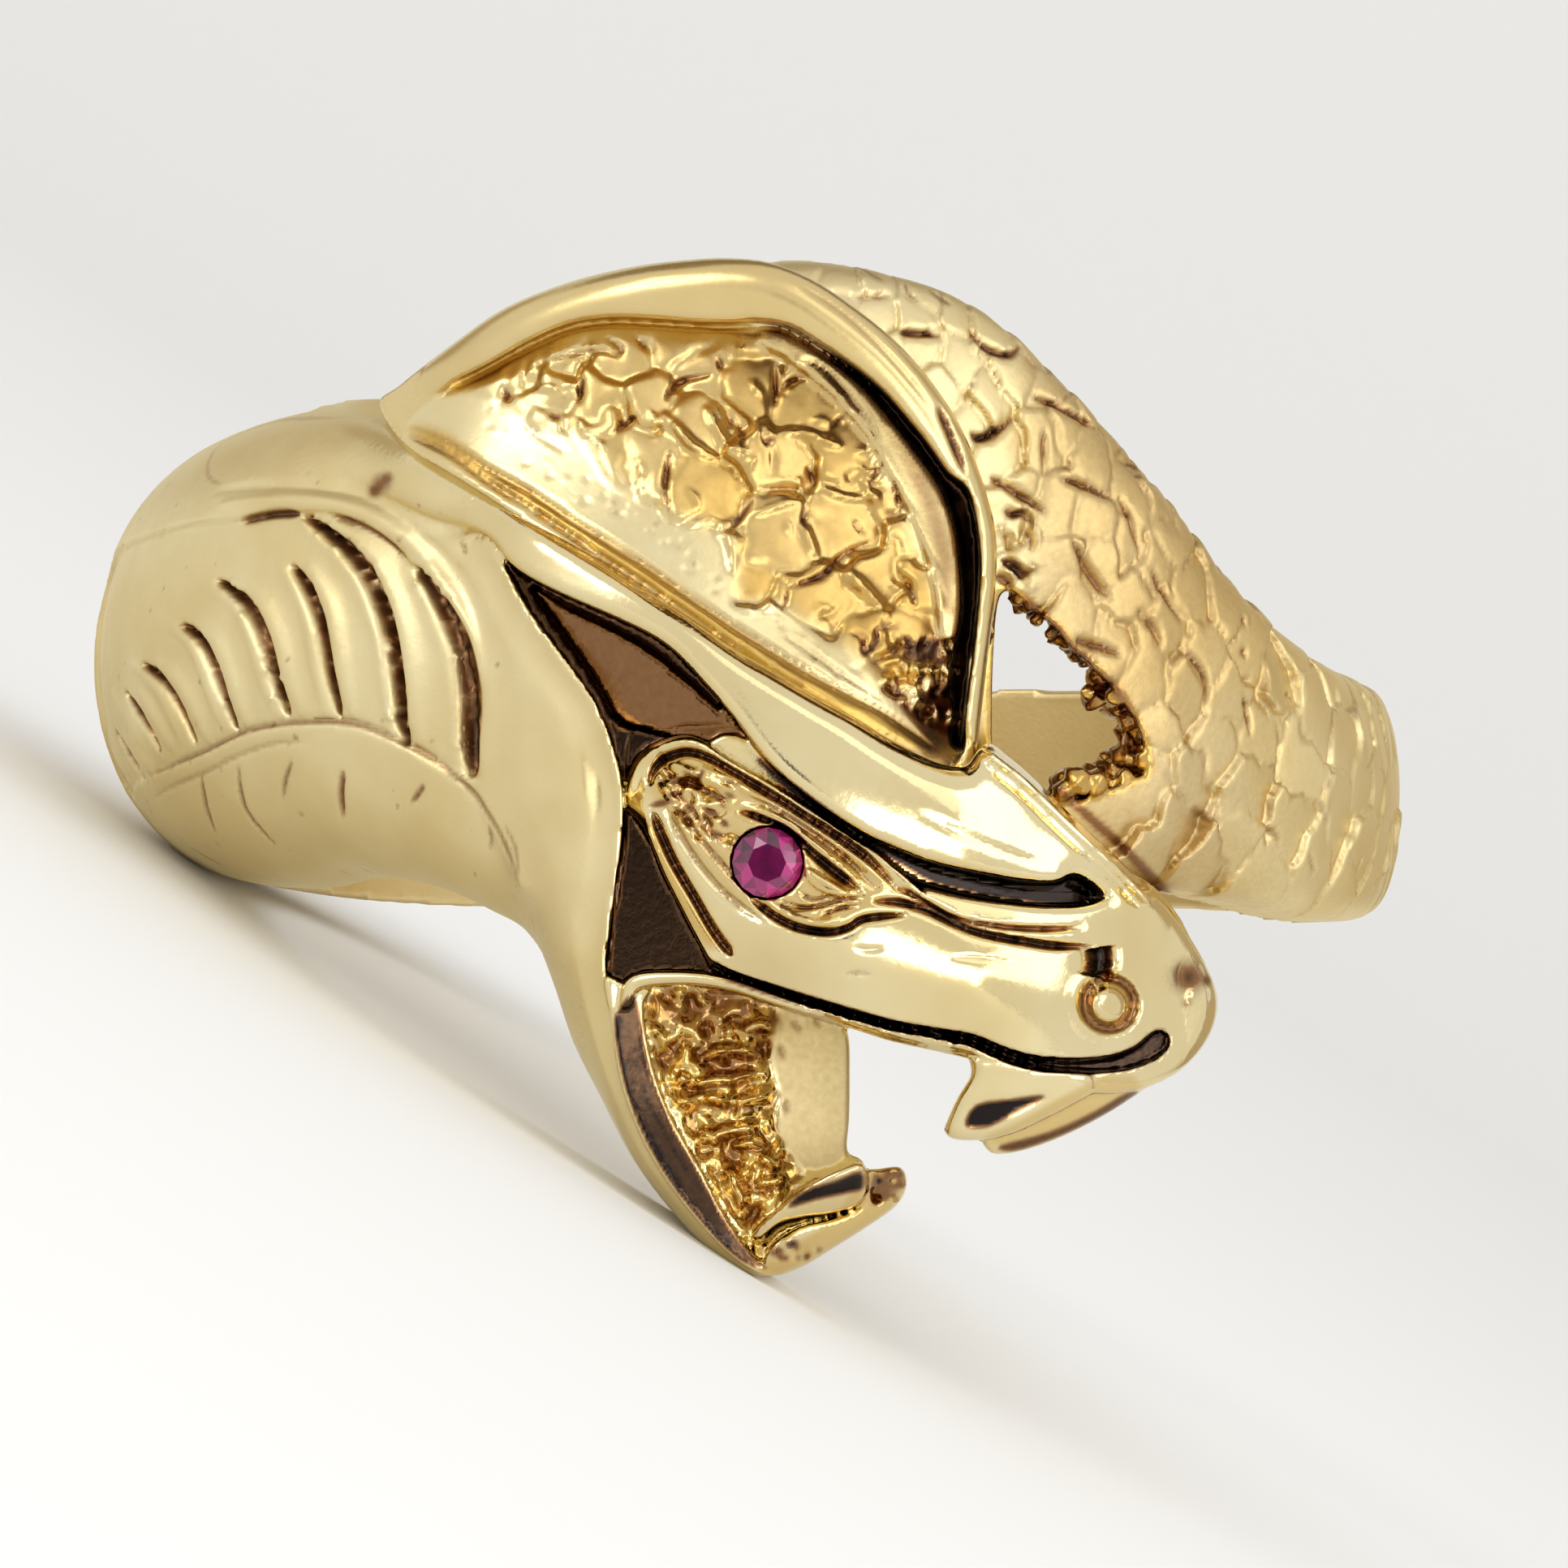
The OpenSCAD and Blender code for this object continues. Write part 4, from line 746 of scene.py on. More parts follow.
for poly, t in [([(1190, 1387), (1203, 1362), (1245, 1355), (1286, 1351), (1248, 1372), (1218, 1388)], 0.97),
                ([(1232, 1412), (1290, 1396), (1345, 1372), (1392, 1345), (1398, 1352), (1350, 1380), (1300, 1402), (1250, 1418)], 0.78),
                ([(972, 1487), (990, 1468), (1030, 1455), (1060, 1444), (1063, 1464), (1042, 1470), (1005, 1478)], 0.97),
                ([(1076, 1448), (1110, 1442), (1112, 1460), (1098, 1476), (1076, 1484)], 0.62)]:
    e = region(PHOTO, poly, n=3) / PXMM
    front_tone[:] = np.maximum(front_tone, t * np.clip(e / 0.08 + 0.55, 0, 1))
    front_d -= (0.05 * np.clip(e / 0.13 + 0.5, 0, 1)).astype(np.float32)
for _ in range(26):
    c = (rng.uniform(1074, 1116), 0)
    c = (c[0], rng.uniform(1442, 1492 - (c[0] - 1074) * 0.4))
    bump(PHOTO, front_d, c, rng.uniform(5, 9), rng.uniform(-0.16, 0.14))
    bump(PHOTO, front_tone, c, rng.uniform(3, 6), rng.uniform(-0.4, 0.4))
# texture of the mouth's floor: folds across it, each with a painted shadow along its lower side, and grains
for pts, w, a in [
    ([(862, 1305), (890, 1293), (920, 1296), (940, 1300)], 7, 0.28), ([(850, 1340), (880, 1330), (905, 1328), (932, 1322)], 7, 0.30),
    ([(838, 1360), (860, 1350), (900, 1358), (950, 1350)], 6, 0.18), ([(880, 1396), (905, 1392), (935, 1386)], 8, 0.34),
    ([(900, 1412), (925, 1408), (945, 1412)], 6, 0.22), ([(860, 1402), (875, 1398), (885, 1410)], 8, 0.28), ([(895, 1440), (908, 1460), (915, 1490)], 8, 0.32),
    ([(935, 1425), (950, 1432), (962, 1440)], 7, 0.26), ([(930, 1462), (950, 1456), (968, 1450)], 6, 0.20), ([(835, 1325), (842, 1330), (846, 1336)], 8, 0.26),
    ([(915, 1270), (935, 1262), (955, 1268)], 7, 0.22),
]:
    cut(pts, w, a, ends=0.3)
    # painted shadow just below each fold
    stroke(PHOTO, PHOTO.new(), [(x + 2, y + 9) for x, y in pts], 4, 0.0, front_tone, 0.6, ends=0.3, t_w=1.0)
rough_e = region(PHOTO, [(796, 1232), (830, 1214), (900, 1222), (952, 1240), (962, 1262), (948, 1300), (958, 1345), (960, 1390), (972, 1420), (990, 1450), (960, 1485), (925, 1520),
                         (905, 1500), (870, 1440), (840, 1385), (812, 1320)], n=3) / PXMM
inside = np.clip(rough_e / 0.12 + 0.3, 0, 1)
grain1 = blur(rng.normal(0, 1, PHOTO.shape).astype(np.float32), 3)
grain2 = blur(rng.normal(0, 1, PHOTO.shape).astype(np.float32), 2)
grain1 /= grain1.std()
grain2 /= grain2.std()
front_d += (inside * (0.06 * grain1 + 0.02 * grain2)).astype(np.float32)
# grains painted a little darker, darker towards the top; the floor's upper end under the upper jaw is painted darker
# still, painted shade
front_tone[:] = np.maximum(front_tone, inside * np.clip(0.12 - 0.06 * np.clip((gy - 1330) / 80, 0, 1) - 0.22 * grain1, 0, 0.62))
upper_end_painted_shade = np.clip((1300 - gy) / 50, 0, 1) * inside
front_tone[:] = np.maximum(front_tone, upper_end_painted_shade * np.clip(0.42 - 0.16 * grain2, 0, 0.62))
front_warm[:] = np.maximum(front_warm, inside * 0.8)
# the folds' tops are painted paler, with less tarnish and less deep gold: painted highlights
crest_painted_highlight = PHOTO.new()
for pts, w in [([(868, 1303), (890, 1295), (915, 1297)], 6), ([(858, 1340), (880, 1331), (902, 1329)], 7), ([(846, 1362), (862, 1353), (880, 1355)], 6), ([(900, 1357), (925, 1353), (945, 1350)], 5),
               ([(884, 1397), (908, 1392), (930, 1388)], 7), ([(902, 1412), (925, 1409), (942, 1412)], 5), ([(862, 1403), (874, 1399), (884, 1408)], 7), ([(897, 1442), (907, 1460), (913, 1486)], 7),
               ([(937, 1426), (950, 1432), (960, 1438)], 6), ([(932, 1461), (948, 1456), (964, 1451)], 6), ([(915, 1500), (925, 1482), (940, 1476)], 6), ([(826, 1282), (840, 1274), (858, 1276)], 5),
               ([(838, 1322), (846, 1330), (850, 1338)], 6), ([(917, 1269), (935, 1263), (950, 1267)], 5), ([(925, 1330), (940, 1324), (950, 1326)], 5), ([(868, 1430), (880, 1424), (890, 1432)], 6)]:
    stroke(PHOTO, front_d, pts, w, 0.05, crest_painted_highlight, 1.0, ends=0.35, t_w=1.1)
front_tone *= 1 - 0.92 * crest_painted_highlight
front_warm *= 1 - 0.55 * crest_painted_highlight
far_wall = region(PHOTO, [(958, 1245), (1000, 1250), (1040, 1266), (1046, 1330), (1044, 1420), (990, 1440), (962, 1400), (962, 1345), (950, 1300)], n=3) / PXMM
front_satin[:] = np.maximum(front_satin, np.clip(far_wall / 0.05 + 0.5, 0, 1))
front_tone[:] = np.maximum(front_tone, 0.10 * np.clip(far_wall / 0.05 + 0.5, 0, 1))
for _ in range(16):
    c = (rng.uniform(945, 1010), rng.uniform(1522, 1552))
    bump(PHOTO, front_d, c, rng.uniform(5, 8), rng.uniform(-0.14, 0.14))
    bump(PHOTO, front_tone, (c[0] + 3, c[1] + 3), 5, 0.5)
for c, l, a in [((982, 1262), 9, 0.2), ((1008, 1258), 7, 0.4), ((964, 1294), 10, 0.9), ((956, 1350), 8, -0.3), ((970, 1362), 9, 1.1)]:
    cut([(c[0] - l * math.cos(a), c[1] - l * math.sin(a)), c, (c[0] + l * math.cos(a + 0.6), c[1] + l * math.sin(a + 0.6))], 4.0, -0.05, 0.36, ends=0.4)
# the recess is mirror-smooth and painted near black, brown on its tilted part: a painted reflection of the dark camera
# side, painted where it is seen
recess_painted_reflection = (0.84 - 0.20 * np.clip(facet_e / 0.03 + 0.5, 0, 1)).astype(np.float32)
# warmer gold in the eye's capsule, along its lower left edge and on the far fang
for poly, v in [([(800, 960), (850, 930), (920, 965), (1000, 1012), (1075, 1065), (1100, 1100), (1040, 1140), (960, 1130), (900, 1100), (850, 1040), (810, 990)], 0.45),
                ([(1062, 1445), (1108, 1438), (1117, 1452), (1098, 1491), (1020, 1542), (955, 1572), (940, 1560), (1030, 1500)], 0.55),
                ([(1212, 1402), (1262, 1417), (1350, 1380), (1408, 1338), (1360, 1325), (1245, 1388)], 0.5)]:
    e = region(PHOTO, poly, n=2) / PXMM
    front_warm[:] = np.maximum(front_warm, v * np.clip(e / 0.1 + 0.5, 0, 1))
stroke(PHOTO, PHOTO.new(), [(790, 1005), (812, 1060), (845, 1118), (885, 1170)], 11, 0.0, front_warm, 0.8, ends=0.1)

# --- the hood: scales of the sunk panel, its smooth borders, the rim's creases
PANEL_PLATES = [
    (612, 478), (640, 470), (685, 490), (745, 485), (700, 440), (770, 440), (790, 555), (835, 430), (872, 450), (862, 515), (870, 608), (922, 465),
    (958, 565), (985, 425), (1000, 500), (1048, 550), (945, 652), (1045, 638), (1008, 738), (1088, 718), (1100, 600), (1062, 800), (1130, 660), (1125, 785),
    (1075, 838), (800, 480), (640, 505), (668, 520), (930, 415), (1035, 470), (890, 700), (850, 665), (760, 560), (720, 520), (965, 790), (1140, 730), (1230, 960),
]
win = PHOTO.window((540, 390), (1210, 960))
gx, gy = PHOTO.mesh(win)
pc = np.array(PANEL_PLATES, float)
f1, f2, who = cells(gx + wander(gx.shape, 5, 6.5), gy + wander(gx.shape, 5, 6.5), pc, 90)
ptilt = rng.normal(0, 0.0013, (len(pc), 2)) + np.array([-0.0008, -0.0010])
plift = rng.normal(0, 0.022, len(pc))
edge = np.clip((f2 - f1) / 15.0, 0, 1)
edge = edge * edge * (3 - 2 * edge)
dome = 0.035 * (edge - 1) + 0.05 * np.clip(1 - (f1 / 45) ** 2, 0, 1) + plift[who]
lean = ptilt[who, 0] * (gx - pc[who, 0]) + ptilt[who, 1] * (gy - pc[who, 1])
# scales live away from the ridge and from the rim
SCALY = [(588, 478), (640, 448), (700, 424), (760, 414), (840, 412), (920, 414), (952, 432), (1000, 460), (1040, 490), (1068, 530), (1090, 572), (1110, 610),
         (1130, 655), (1150, 700), (1164, 750), (1160, 800), (1130, 850), (1090, 850), (1050, 805), (1000, 775), (958, 750), (905, 742), (895, 665), (840, 645),
         (800, 615), (755, 592), (722, 545), (670, 530), (625, 505)]
region_scaly = region(PHOTO, SCALY)
scaly = region_scaly[win]
k = np.clip(scaly / 14 + 0.5, 0, 1)
hood_d[win] += blur(k * (dome + lean), 1)
warm_of = rng.uniform(0.7, 1.0, len(pc))
hood_warm[win] = np.clip(scaly / 30 + 0.35, 0, 1) * np.clip((gx - 600) / 350 * 0.6 + 0.4, 0.4, 1) * warm_of[who]
for pts, w, a, t in [
    ([(718, 465), (716, 482), (713, 500)], 4.5, -0.16, 0.9), ([(713, 505), (716, 520), (722, 540)], 4, 0.08, 0.0), ([(756, 535), (770, 522), (786, 514)], 5, -0.14, 0.9),
    ([(826, 555), (822, 575), (820, 600), (828, 640)], 5, -0.16, 0.8), ([(820, 495), (828, 480), (845, 468), (880, 460)], 6, -0.16, 0.75), ([(905, 520), (915, 535), (914, 562)], 4, -0.14, 0.75),
    ([(955, 448), (955, 475), (956, 502)], 4, -0.14, 0.85), ([(958, 482), (975, 470), (995, 463)], 4, -0.13, 0.8), ([(1020, 532), (1032, 520), (1046, 508)], 4, -0.13, 0.85),
    ([(897, 655), (910, 640), (930, 612)], 6, -0.15, 0.85), ([(992, 575), (1000, 588), (1004, 600)], 4, -0.14, 0.9), ([(930, 600), (965, 604), (1000, 600)], 4, -0.10, 0.45),
    ([(1068, 602), (1078, 588), (1088, 568)], 4, -0.13, 0.75), ([(1100, 590), (1106, 612), (1113, 636)], 4, -0.12, 0.75), ([(993, 625), (990, 640), (994, 655)], 5, -0.14, 0.85),
    ([(968, 725), (990, 718), (1015, 708), (1038, 685), (1076, 667)], 5, -0.20, 0.95), ([(964, 752), (968, 740), (970, 725)], 4, -0.12, 0.7),
    ([(1045, 778), (1062, 785), (1066, 804), (1080, 790), (1082, 775), (1112, 770)], 5, -0.18, 0.95), ([(1085, 812), (1100, 803), (1112, 794)], 5, -0.16, 0.95),
    ([(1118, 715), (1123, 730), (1128, 748)], 4, -0.14, 0.85), ([(745, 415), (765, 430), (760, 440)], 4, -0.08, 0.6), ([(780, 412), (792, 425), (800, 432)], 4, -0.09, 0.6),
    ([(882, 438), (888, 448), (886, 458)], 5, -0.12, 0.75), ([(900, 410), (925, 413), (945, 412)], 4, -0.08, 0.6), ([(620, 478), (626, 490), (630, 486)], 7, -0.14, 0.85),
    ([(675, 508), (684, 514), (692, 512)], 5, -0.10, 0.75), ([(650, 455), (690, 440), (740, 432), (770, 445)], 4, -0.07, 0.3), ([(1090, 630), (1097, 634), (1104, 630)], 4, -0.09, 0.7),
    ([(1050, 640), (1056, 648), (1064, 660)], 4, -0.08, 0.4), ([(985, 445), (1010, 450), (1040, 480), (1068, 515), (1085, 550)], 4, -0.09, 0.5), ([(640, 518), (670, 540), (700, 560)], 3, -0.05, 0.2),
    ([(960, 780), (1000, 805), (1050, 840), (1100, 872)], 4, -0.06, 0.25), ([(935, 535), (945, 545), (958, 535)], 5, -0.12, 0.8), ([(895, 505), (900, 520), (905, 525)], 5, -0.1, 0.6),
]:
    hcut(pts, w * 0.72, a * 0.8, t, ends=0.45)
for _ in range(70):
    c = (rng.uniform(640, 1130), rng.uniform(410, 800))
    i, j = int((c[0] - PHOTO.x0) / PHOTO.sx), int((c[1] - PHOTO.y0) / PHOTO.sy)
    if region_scaly[i, j] < 6:
        continue
    a, l = rng.normal(0.7, 0.7), rng.uniform(9, 22)
    b = rng.normal(0, 5)
    hcut([(c[0] - l * math.cos(a), c[1] - l * math.sin(a)), (c[0] - b * math.sin(a), c[1] + b * math.cos(a)), (c[0] + l * math.cos(a), c[1] + l * math.sin(a))],
         rng.uniform(3, 5), rng.choice([-0.06, 0.05, 0.07]), 0.0, ends=0.45)
for pts, w, a in [([(815, 507), (835, 530), (858, 552), (890, 568)], 7, 0.14), ([(870, 500), (885, 530), (900, 552)], 6, 0.10), ([(960, 530), (1000, 535), (1040, 552)], 6, 0.10),
                  ([(1045, 702), (1070, 730), (1098, 762)], 7, 0.13), ([(988, 640), (998, 665), (1008, 690)], 6, 0.12), ([(895, 655), (902, 680), (905, 710)], 4, 0.06),
                  ([(840, 650), (870, 640), (895, 650)], 5, 0.06), ([(1010, 600), (1045, 612), (1085, 614)], 5, 0.08), ([(925, 635), (960, 622), (995, 612)], 5, 0.07)]:
    hcut(pts, w, a, ends=0.3)
# smooth strip inside the crack at the right, and the crack itself, painted near black inside: painted shade
STRIP = [(940, 404), (980, 414), (1022, 442), (1062, 473), (1101, 517), (1131, 556), (1161, 600), (1178, 650), (1185, 700), (1187, 750), (1180, 788), (1156, 784),
         (1152, 740), (1141, 690), (1122, 640), (1098, 592), (1072, 547), (1040, 506), (1002, 470), (962, 440), (932, 420)]
strip_e = region(PHOTO, STRIP, n=3) / PXMM
t = np.clip(strip_e / 0.12 + 0.3, 0, 1)
hood_d += (0.12 * t * t * (3 - 2 * t)).astype(np.float32)
hood_warm[:] = np.where(strip_e > 0, 0.4, hood_warm)
CRACK = [(915, 392), (970, 399), (1010, 422), (1050, 449), (1085, 478), (1112, 508), (1142, 545), (1168, 582), (1192, 602), (1203, 645), (1208, 700), (1204, 760),
         (1197, 820), (1189, 880), (1186, 918), (1172, 915), (1176, 870), (1172, 830), (1180, 790), (1187, 750), (1185, 700), (1178, 650), (1161, 600), (1131, 556), (1101, 516),
         (1062, 471), (1022, 438), (980, 409), (945, 398)]
crack_e = region(PHOTO, CRACK, n=3) / PXMM
widening = np.clip((PHOTO.x[:, None] - 915) / 150, 0.06, 1)
hood_d -= (0.9 * widening * np.clip(crack_e / 0.06 + 0.3, 0, 1) * (hood_e > 0)).astype(np.float32)
# painted shade in the crack
hood_tone[:] = np.maximum(hood_tone, 0.86 * np.clip(crack_e / 0.05 + 0.7, 0, 1) * np.clip((PHOTO.x[:, None] - 905) / 50, 0, 1))
stroke(PHOTO, PHOTO.new(), [(1092, 530), (1122, 574), (1146, 622), (1160, 672), (1167, 722), (1168, 775)], 11, 0.0, hood_tone, 0.34, ends=0.3, t_w=1.0)
hood_tone[:] = np.maximum(hood_tone, 0.13 * np.clip(region_scaly / 20 + 0.5, 0, 1) * np.clip((PHOTO.x[:, None] - 600) / 400, 0.3, 1))
own = np.random.default_rng(83)
for _ in range(60):
    x = own.uniform(600, 1060)
    y = float(np.interp(x, [600, 700, 800, 900, 1000, 1060], [520, 590, 650, 722, 800, 842])) + own.normal(0, 13)
    a, l = own.uniform(-0.3, 1.6), own.uniform(3, 8)
    stroke(PHOTO, hood_d, [(x - l * math.cos(a), y - l * math.sin(a)), (x + l * math.cos(a), y + l * math.sin(a))], own.uniform(3.0, 4.5), own.choice([-0.022, -0.014, 0.012]),
           hood_tone, own.choice([0.0, 0.12, 0.24]), ends=0.4, smooth=0)
# dark reflections at the panel's lower right
for poly, t in [([(1110, 800), (1140, 785), (1178, 792), (1178, 812), (1150, 822), (1120, 812)], 0.85),
                ([(1105, 828), (1112, 850), (1140, 852), (1168, 835), (1180, 830), (1180, 905), (1150, 900), (1118, 880), (1100, 860)], 0.78)]:
    e = region(PHOTO, poly, n=3) / PXMM
    hood_tone[:] = np.maximum(hood_tone, t * np.clip(e / 0.10 + 0.4, 0, 1))
# angular flecks between them, some bright and some black
own = np.random.default_rng(31)
for _ in range(44):
    c = (own.uniform(1092, 1176), 0)
    c = (c[0], own.uniform(788, 850 + (c[0] - 1092) * 0.6))
    a, l = own.uniform(-0.6, 2.4), own.uniform(5, 13)
    q = [(c[0] - l * math.cos(a), c[1] - l * math.sin(a)), (c[0] + l * math.cos(a), c[1] + l * math.sin(a))]
    if own.uniform() < 0.5:
        stroke(PHOTO, hood_d, q, own.uniform(4, 6), own.uniform(0.10, 0.18), ends=0.4, smooth=0)
        w_ = PHOTO.window(np.array(c) - 7, np.array(c) + 7)
        hood_tone[w_] *= 0.35
    else:
        stroke(PHOTO, hood_d, q, own.uniform(3.5, 5), own.uniform(-0.18, -0.08), hood_tone, own.uniform(0.7, 1.0), ends=0.4, smooth=0)
# the double golden groove between panel and ridge
hcut([(500, 522), (550, 544), (600, 578), (650, 605), (700, 640), (750, 670), (800, 701), (850, 737), (900, 770), (950, 801), (1000, 831), (1050, 857), (1100, 885), (1150, 922)],
     4.6, -0.09, 0.22, ends=0.06)
hcut([(500, 534), (550, 556), (600, 592), (650, 623), (700, 656), (750, 692), (800, 724), (850, 759), (900, 795), (950, 831), (1000, 860), (1050, 889), (1100, 912), (1135, 932)],
     4.6, -0.10, 0.24, ends=0.06)
hcut([(600, 585), (700, 648), (800, 712), (900, 783), (1000, 846), (1100, 899)], 5, 0.05, ends=0.1)
stroke(PHOTO, PHOTO.new(), [(500, 528), (550, 550), (600, 585), (650, 614), (700, 648), (750, 681), (800, 712), (850, 748), (900, 783), (950, 817), (1000, 846), (1050, 873), (1100, 899), (1150, 930)],
       15, 0.0, hood_warm, 1.0, ends=0.05)
stroke(PHOTO, PHOTO.new(), [(540, 490), (600, 456), (650, 430), (700, 406), (750, 397), (820, 398), (880, 402), (935, 404)], 9, 0.0, hood_warm, 1.0, ends=0.1)
for x in np.arange(620, 1130, 9.0):
    y = float(np.interp(x, [600, 700, 800, 900, 1000, 1100, 1150], [585, 648, 712, 783, 846, 899, 930]))
    c = (x + rng.normal(0, 3), y + rng.normal(0, 5))
    stroke(PHOTO, hood_d, [(c[0] - 17, c[1] - 11.5), (c[0] + 17, c[1] + 11.5)], 3.6, rng.uniform(-0.025, 0.03), hood_tone, rng.choice([0.0, 0.0, 0.0, 0.25]), ends=0.5, smooth=0)
# creases on the rim
hcut([(1155, 500), (1170, 535), (1190, 585)], 4.5, -0.12, 0.9, ends=0.3)
hcut([(985, 352), (1030, 380), (1075, 418), (1115, 460), (1150, 505)], 4, -0.05, 0.2, ends=0.2)
hcut([(560, 476), (600, 455), (650, 428), (700, 406), (750, 398), (810, 400), (880, 404), (935, 403)], 4, -0.10, 0.12, ends=0.08)


# ------------------------------------------------------------------ fields
class Pts:
    """Points in the worn frame with their places in the maps."""

    def __init__(self, x, y, z, mid, fast):
        f = np.float32
        self.x, self.y, self.z = x.astype(f), y.astype(f), z.astype(f)
        self.r = np.hypot(self.x, self.y)
        phi = np.degrees(np.arctan2(self.x, -self.y))
        self.phi = (mid + (phi - mid + 180) % 360 - 180).astype(f)
        k = PPM * CAM_D / (CAM_D + self.y)
        self.px, self.py = 966 + (self.x - CAM_X) * k, 966 - self.z * k
        self.fast = fast
        self._i = {}

    def _index(self, grid, a, b):
        key = id(grid)
        if key not in self._i:
            u = np.clip((a - grid.x0) / grid.sx, 0, grid.shape[0] - 1.001)
            v = np.clip((b - grid.y0) / grid.sy, 0, grid.shape[1] - 1.001)
            if self.fast:
                self._i[key] = ((u + 0.5).astype(np.int32), (v + 0.5).astype(np.int32))
            else:
                i, j = u.astype(np.int32), v.astype(np.int32)
                self._i[key] = (i, j, (u - i).astype(np.float32), (v - j).astype(np.float32))
        return self._i[key]

    def _get(self, grid, m, a, b):
        q = self._index(grid, a, b)
        if self.fast:
            return m[q[0], q[1]]
        i, j, s, t = q
        return (m[i, j] * (1 - s) + m[i + 1, j] * s) * (1 - t) + (m[i, j + 1] * (1 - s) + m[i + 1, j + 1] * s) * t

    def photo(self, m):
        return self._get(PHOTO, m, self.px, self.py)

    def left(self, m):
        return self._get(LEFT, m, self.phi * MMDEG, self.z)

    def band(self, m):
        return self._get(BAND, m, self.phi * MMDEG, self.z)


def body_part(p, name, low=None, d=None, k=0.05):
    h, e = R_[name]
    f = smin(p.photo(h) + (0 if d is None else d) - p.r, p.photo(e), k)
    if low is not None:
        f = np.minimum(f, p.r - low)
    return f


def belly_field(p):
    f = (p.left(left_r) + p.left(left_d) - p.r) / p.left(left_slope)
    return np.minimum(f, (-20.5 - p.phi) * MMDEG)


RUBY_C = np.array([12.48 * math.sin(math.radians(-2.4)), -12.48 * math.cos(math.radians(-2.4)), -1.27])
RUBY_N = np.array([math.sin(math.radians(-2.4)), -math.cos(math.radians(-2.4)), 0.0])
PRONGS = [(905, 1030), (992, 1040), (978, 1104), (908, 1098)]


def front_field(p):
    d = p.photo(front_d)
    front = p.y < -2
    f = belly_field(p)
    f = np.where(front, smin(f, -p.photo(seen_e), 0.05), f)
    ridge = body_part(p, "ridge", d=d)
    f = smax(f, ridge, p.photo(join_w))
    f = smax(f, body_part(p, "throat", d=np.minimum(d, 0.05)), p.photo(join_t))
    jaw = body_part(p, "upper_jaw", d=d)
    snout = np.clip((p.px - 1345) / 60, 0.02, 1) * 0.35
    f = smax(f, jaw, snout)
    f = np.maximum(f, np.minimum(11.62 - p.r, p.photo(base_e)))
    f = np.maximum(f, body_part(p, "lip"))
    f = np.maximum(f, body_part(p, "chamfer", d=d))
    f = np.maximum(f, body_part(p, "mouth_floor", d=d))
    f = np.maximum(f, body_part(p, "near_lower_fang", low=10.4, d=d))
    f = np.maximum(f, body_part(p, "far_lower_fang", low=9.3, d=d))
    f = np.maximum(f, body_part(p, "near_upper_fang", low=10.9, d=d))
    f = np.maximum(f, body_part(p, "far_upper_fang", low=9.6, d=d))
    f = np.maximum(f, np.minimum(p.y + p.photo(recess_y), p.photo(recess_e_map)))
    # the ruby's seat
    q = [p.x - RUBY_C[0], p.y - RUBY_C[1], p.z - RUBY_C[2]]
    out = q[0] * RUBY_N[0] + q[1] * RUBY_N[1] + q[2] * RUBY_N[2]
    rad = np.sqrt(np.maximum(q[0] ** 2 + q[1] ** 2 + q[2] ** 2 - out ** 2, 0))
    seat = np.minimum(np.where(out > -0.02, 0.600 - rad, 0.600 + (out + 0.02) * 1.1 - rad), out + 0.56)
    f = np.minimum(f, -seat)
    f = np.where(front | (f < 0), f, f)
    return np.minimum(f, p.r - BORE)


HEAD_BASE = [(900, 905), (950, 925), (1000, 960), (1060, 1000), (1120, 1030), (1200, 1050), (1290, 1060), (1350, 1075), (1400, 1100), (1440, 1140), (1475, 1190),
             (1488, 1240), (1470, 1290), (1430, 1322), (1350, 1338), (1290, 1328), (1215, 1308), (1190, 1292), (1100, 1272), (1000, 1240), (900, 1204),
             (872, 1160), (840, 1090), (815, 1030), (805, 960), (830, 920), (870, 915)]
base_e = (region(PHOTO, HEAD_BASE) / PXMM).astype(np.float32)


def hood_field(p):
    d = p.photo(hood_d)
    f = body_part(p, "floor", d=d)
    f = np.maximum(f, body_part(p, "rim", d=d))
    return np.minimum(f, p.r - BORE)


HOLE = [(1226, 930), (1222, 880), (1224, 800), (1229, 745), (1238, 728), (1252, 732), (1270, 748), (1292, 766), (1310, 785), (1325, 804), (1350, 826),
        (1380, 858), (1404, 900), (1412, 948), (1390, 962), (1350, 978), (1310, 985), (1260, 960)]
hole_e = (region(PHOTO, HOLE) / PXMM).astype(np.float32)
recess_e_map = recess_e.astype(np.float32)
# rough casting left in the hole: angular crumbs along its lower right edge and at its top
nug = []
shore = curve([(1345, 828), (1378, 862), (1402, 905), (1408, 945), (1385, 960), (1345, 974), (1300, 982)], 8)
for i in range(84):
    q = shore[int(rng.uniform(0, 1) ** 0.8 * (len(shore) - 1))]
    inward = abs(rng.normal(0, 1)) * 13
    g = np.array([1325, 905]) - q
    q = q + g / np.linalg.norm(g) * inward + rng.normal(0, 4, 2)
    r = rng.uniform(9.6, 10.75)
    phi, z = unroll([q.tolist()], r=r)[0][:2]
    turn = np.linalg.qr(rng.normal(0, 1, (3, 3)))[0]
    nug.append((r * math.sin(math.radians(phi)), -r * math.cos(math.radians(phi)), z, rng.uniform(0.16, 0.31), turn))

own = np.random.default_rng(57)
shore = curve([(1250, 735), (1285, 762), (1316, 796), (1348, 830)], 8)
for i in range(34):
    q = shore[int(own.uniform(0, 1) * (len(shore) - 1))]
    g = np.array([1275, 840]) - q
    q = q + g / np.linalg.norm(g) * own.uniform(-3, 8) + own.normal(0, 3, 2)
    r = own.uniform(9.9, 10.7)
    phi, z = unroll([q.tolist()], r=r)[0][:2]
    turn = np.linalg.qr(own.normal(0, 1, (3, 3)))[0]
    nug.append((r * math.sin(math.radians(phi)), -r * math.cos(math.radians(phi)), z, own.uniform(0.10, 0.19), turn))


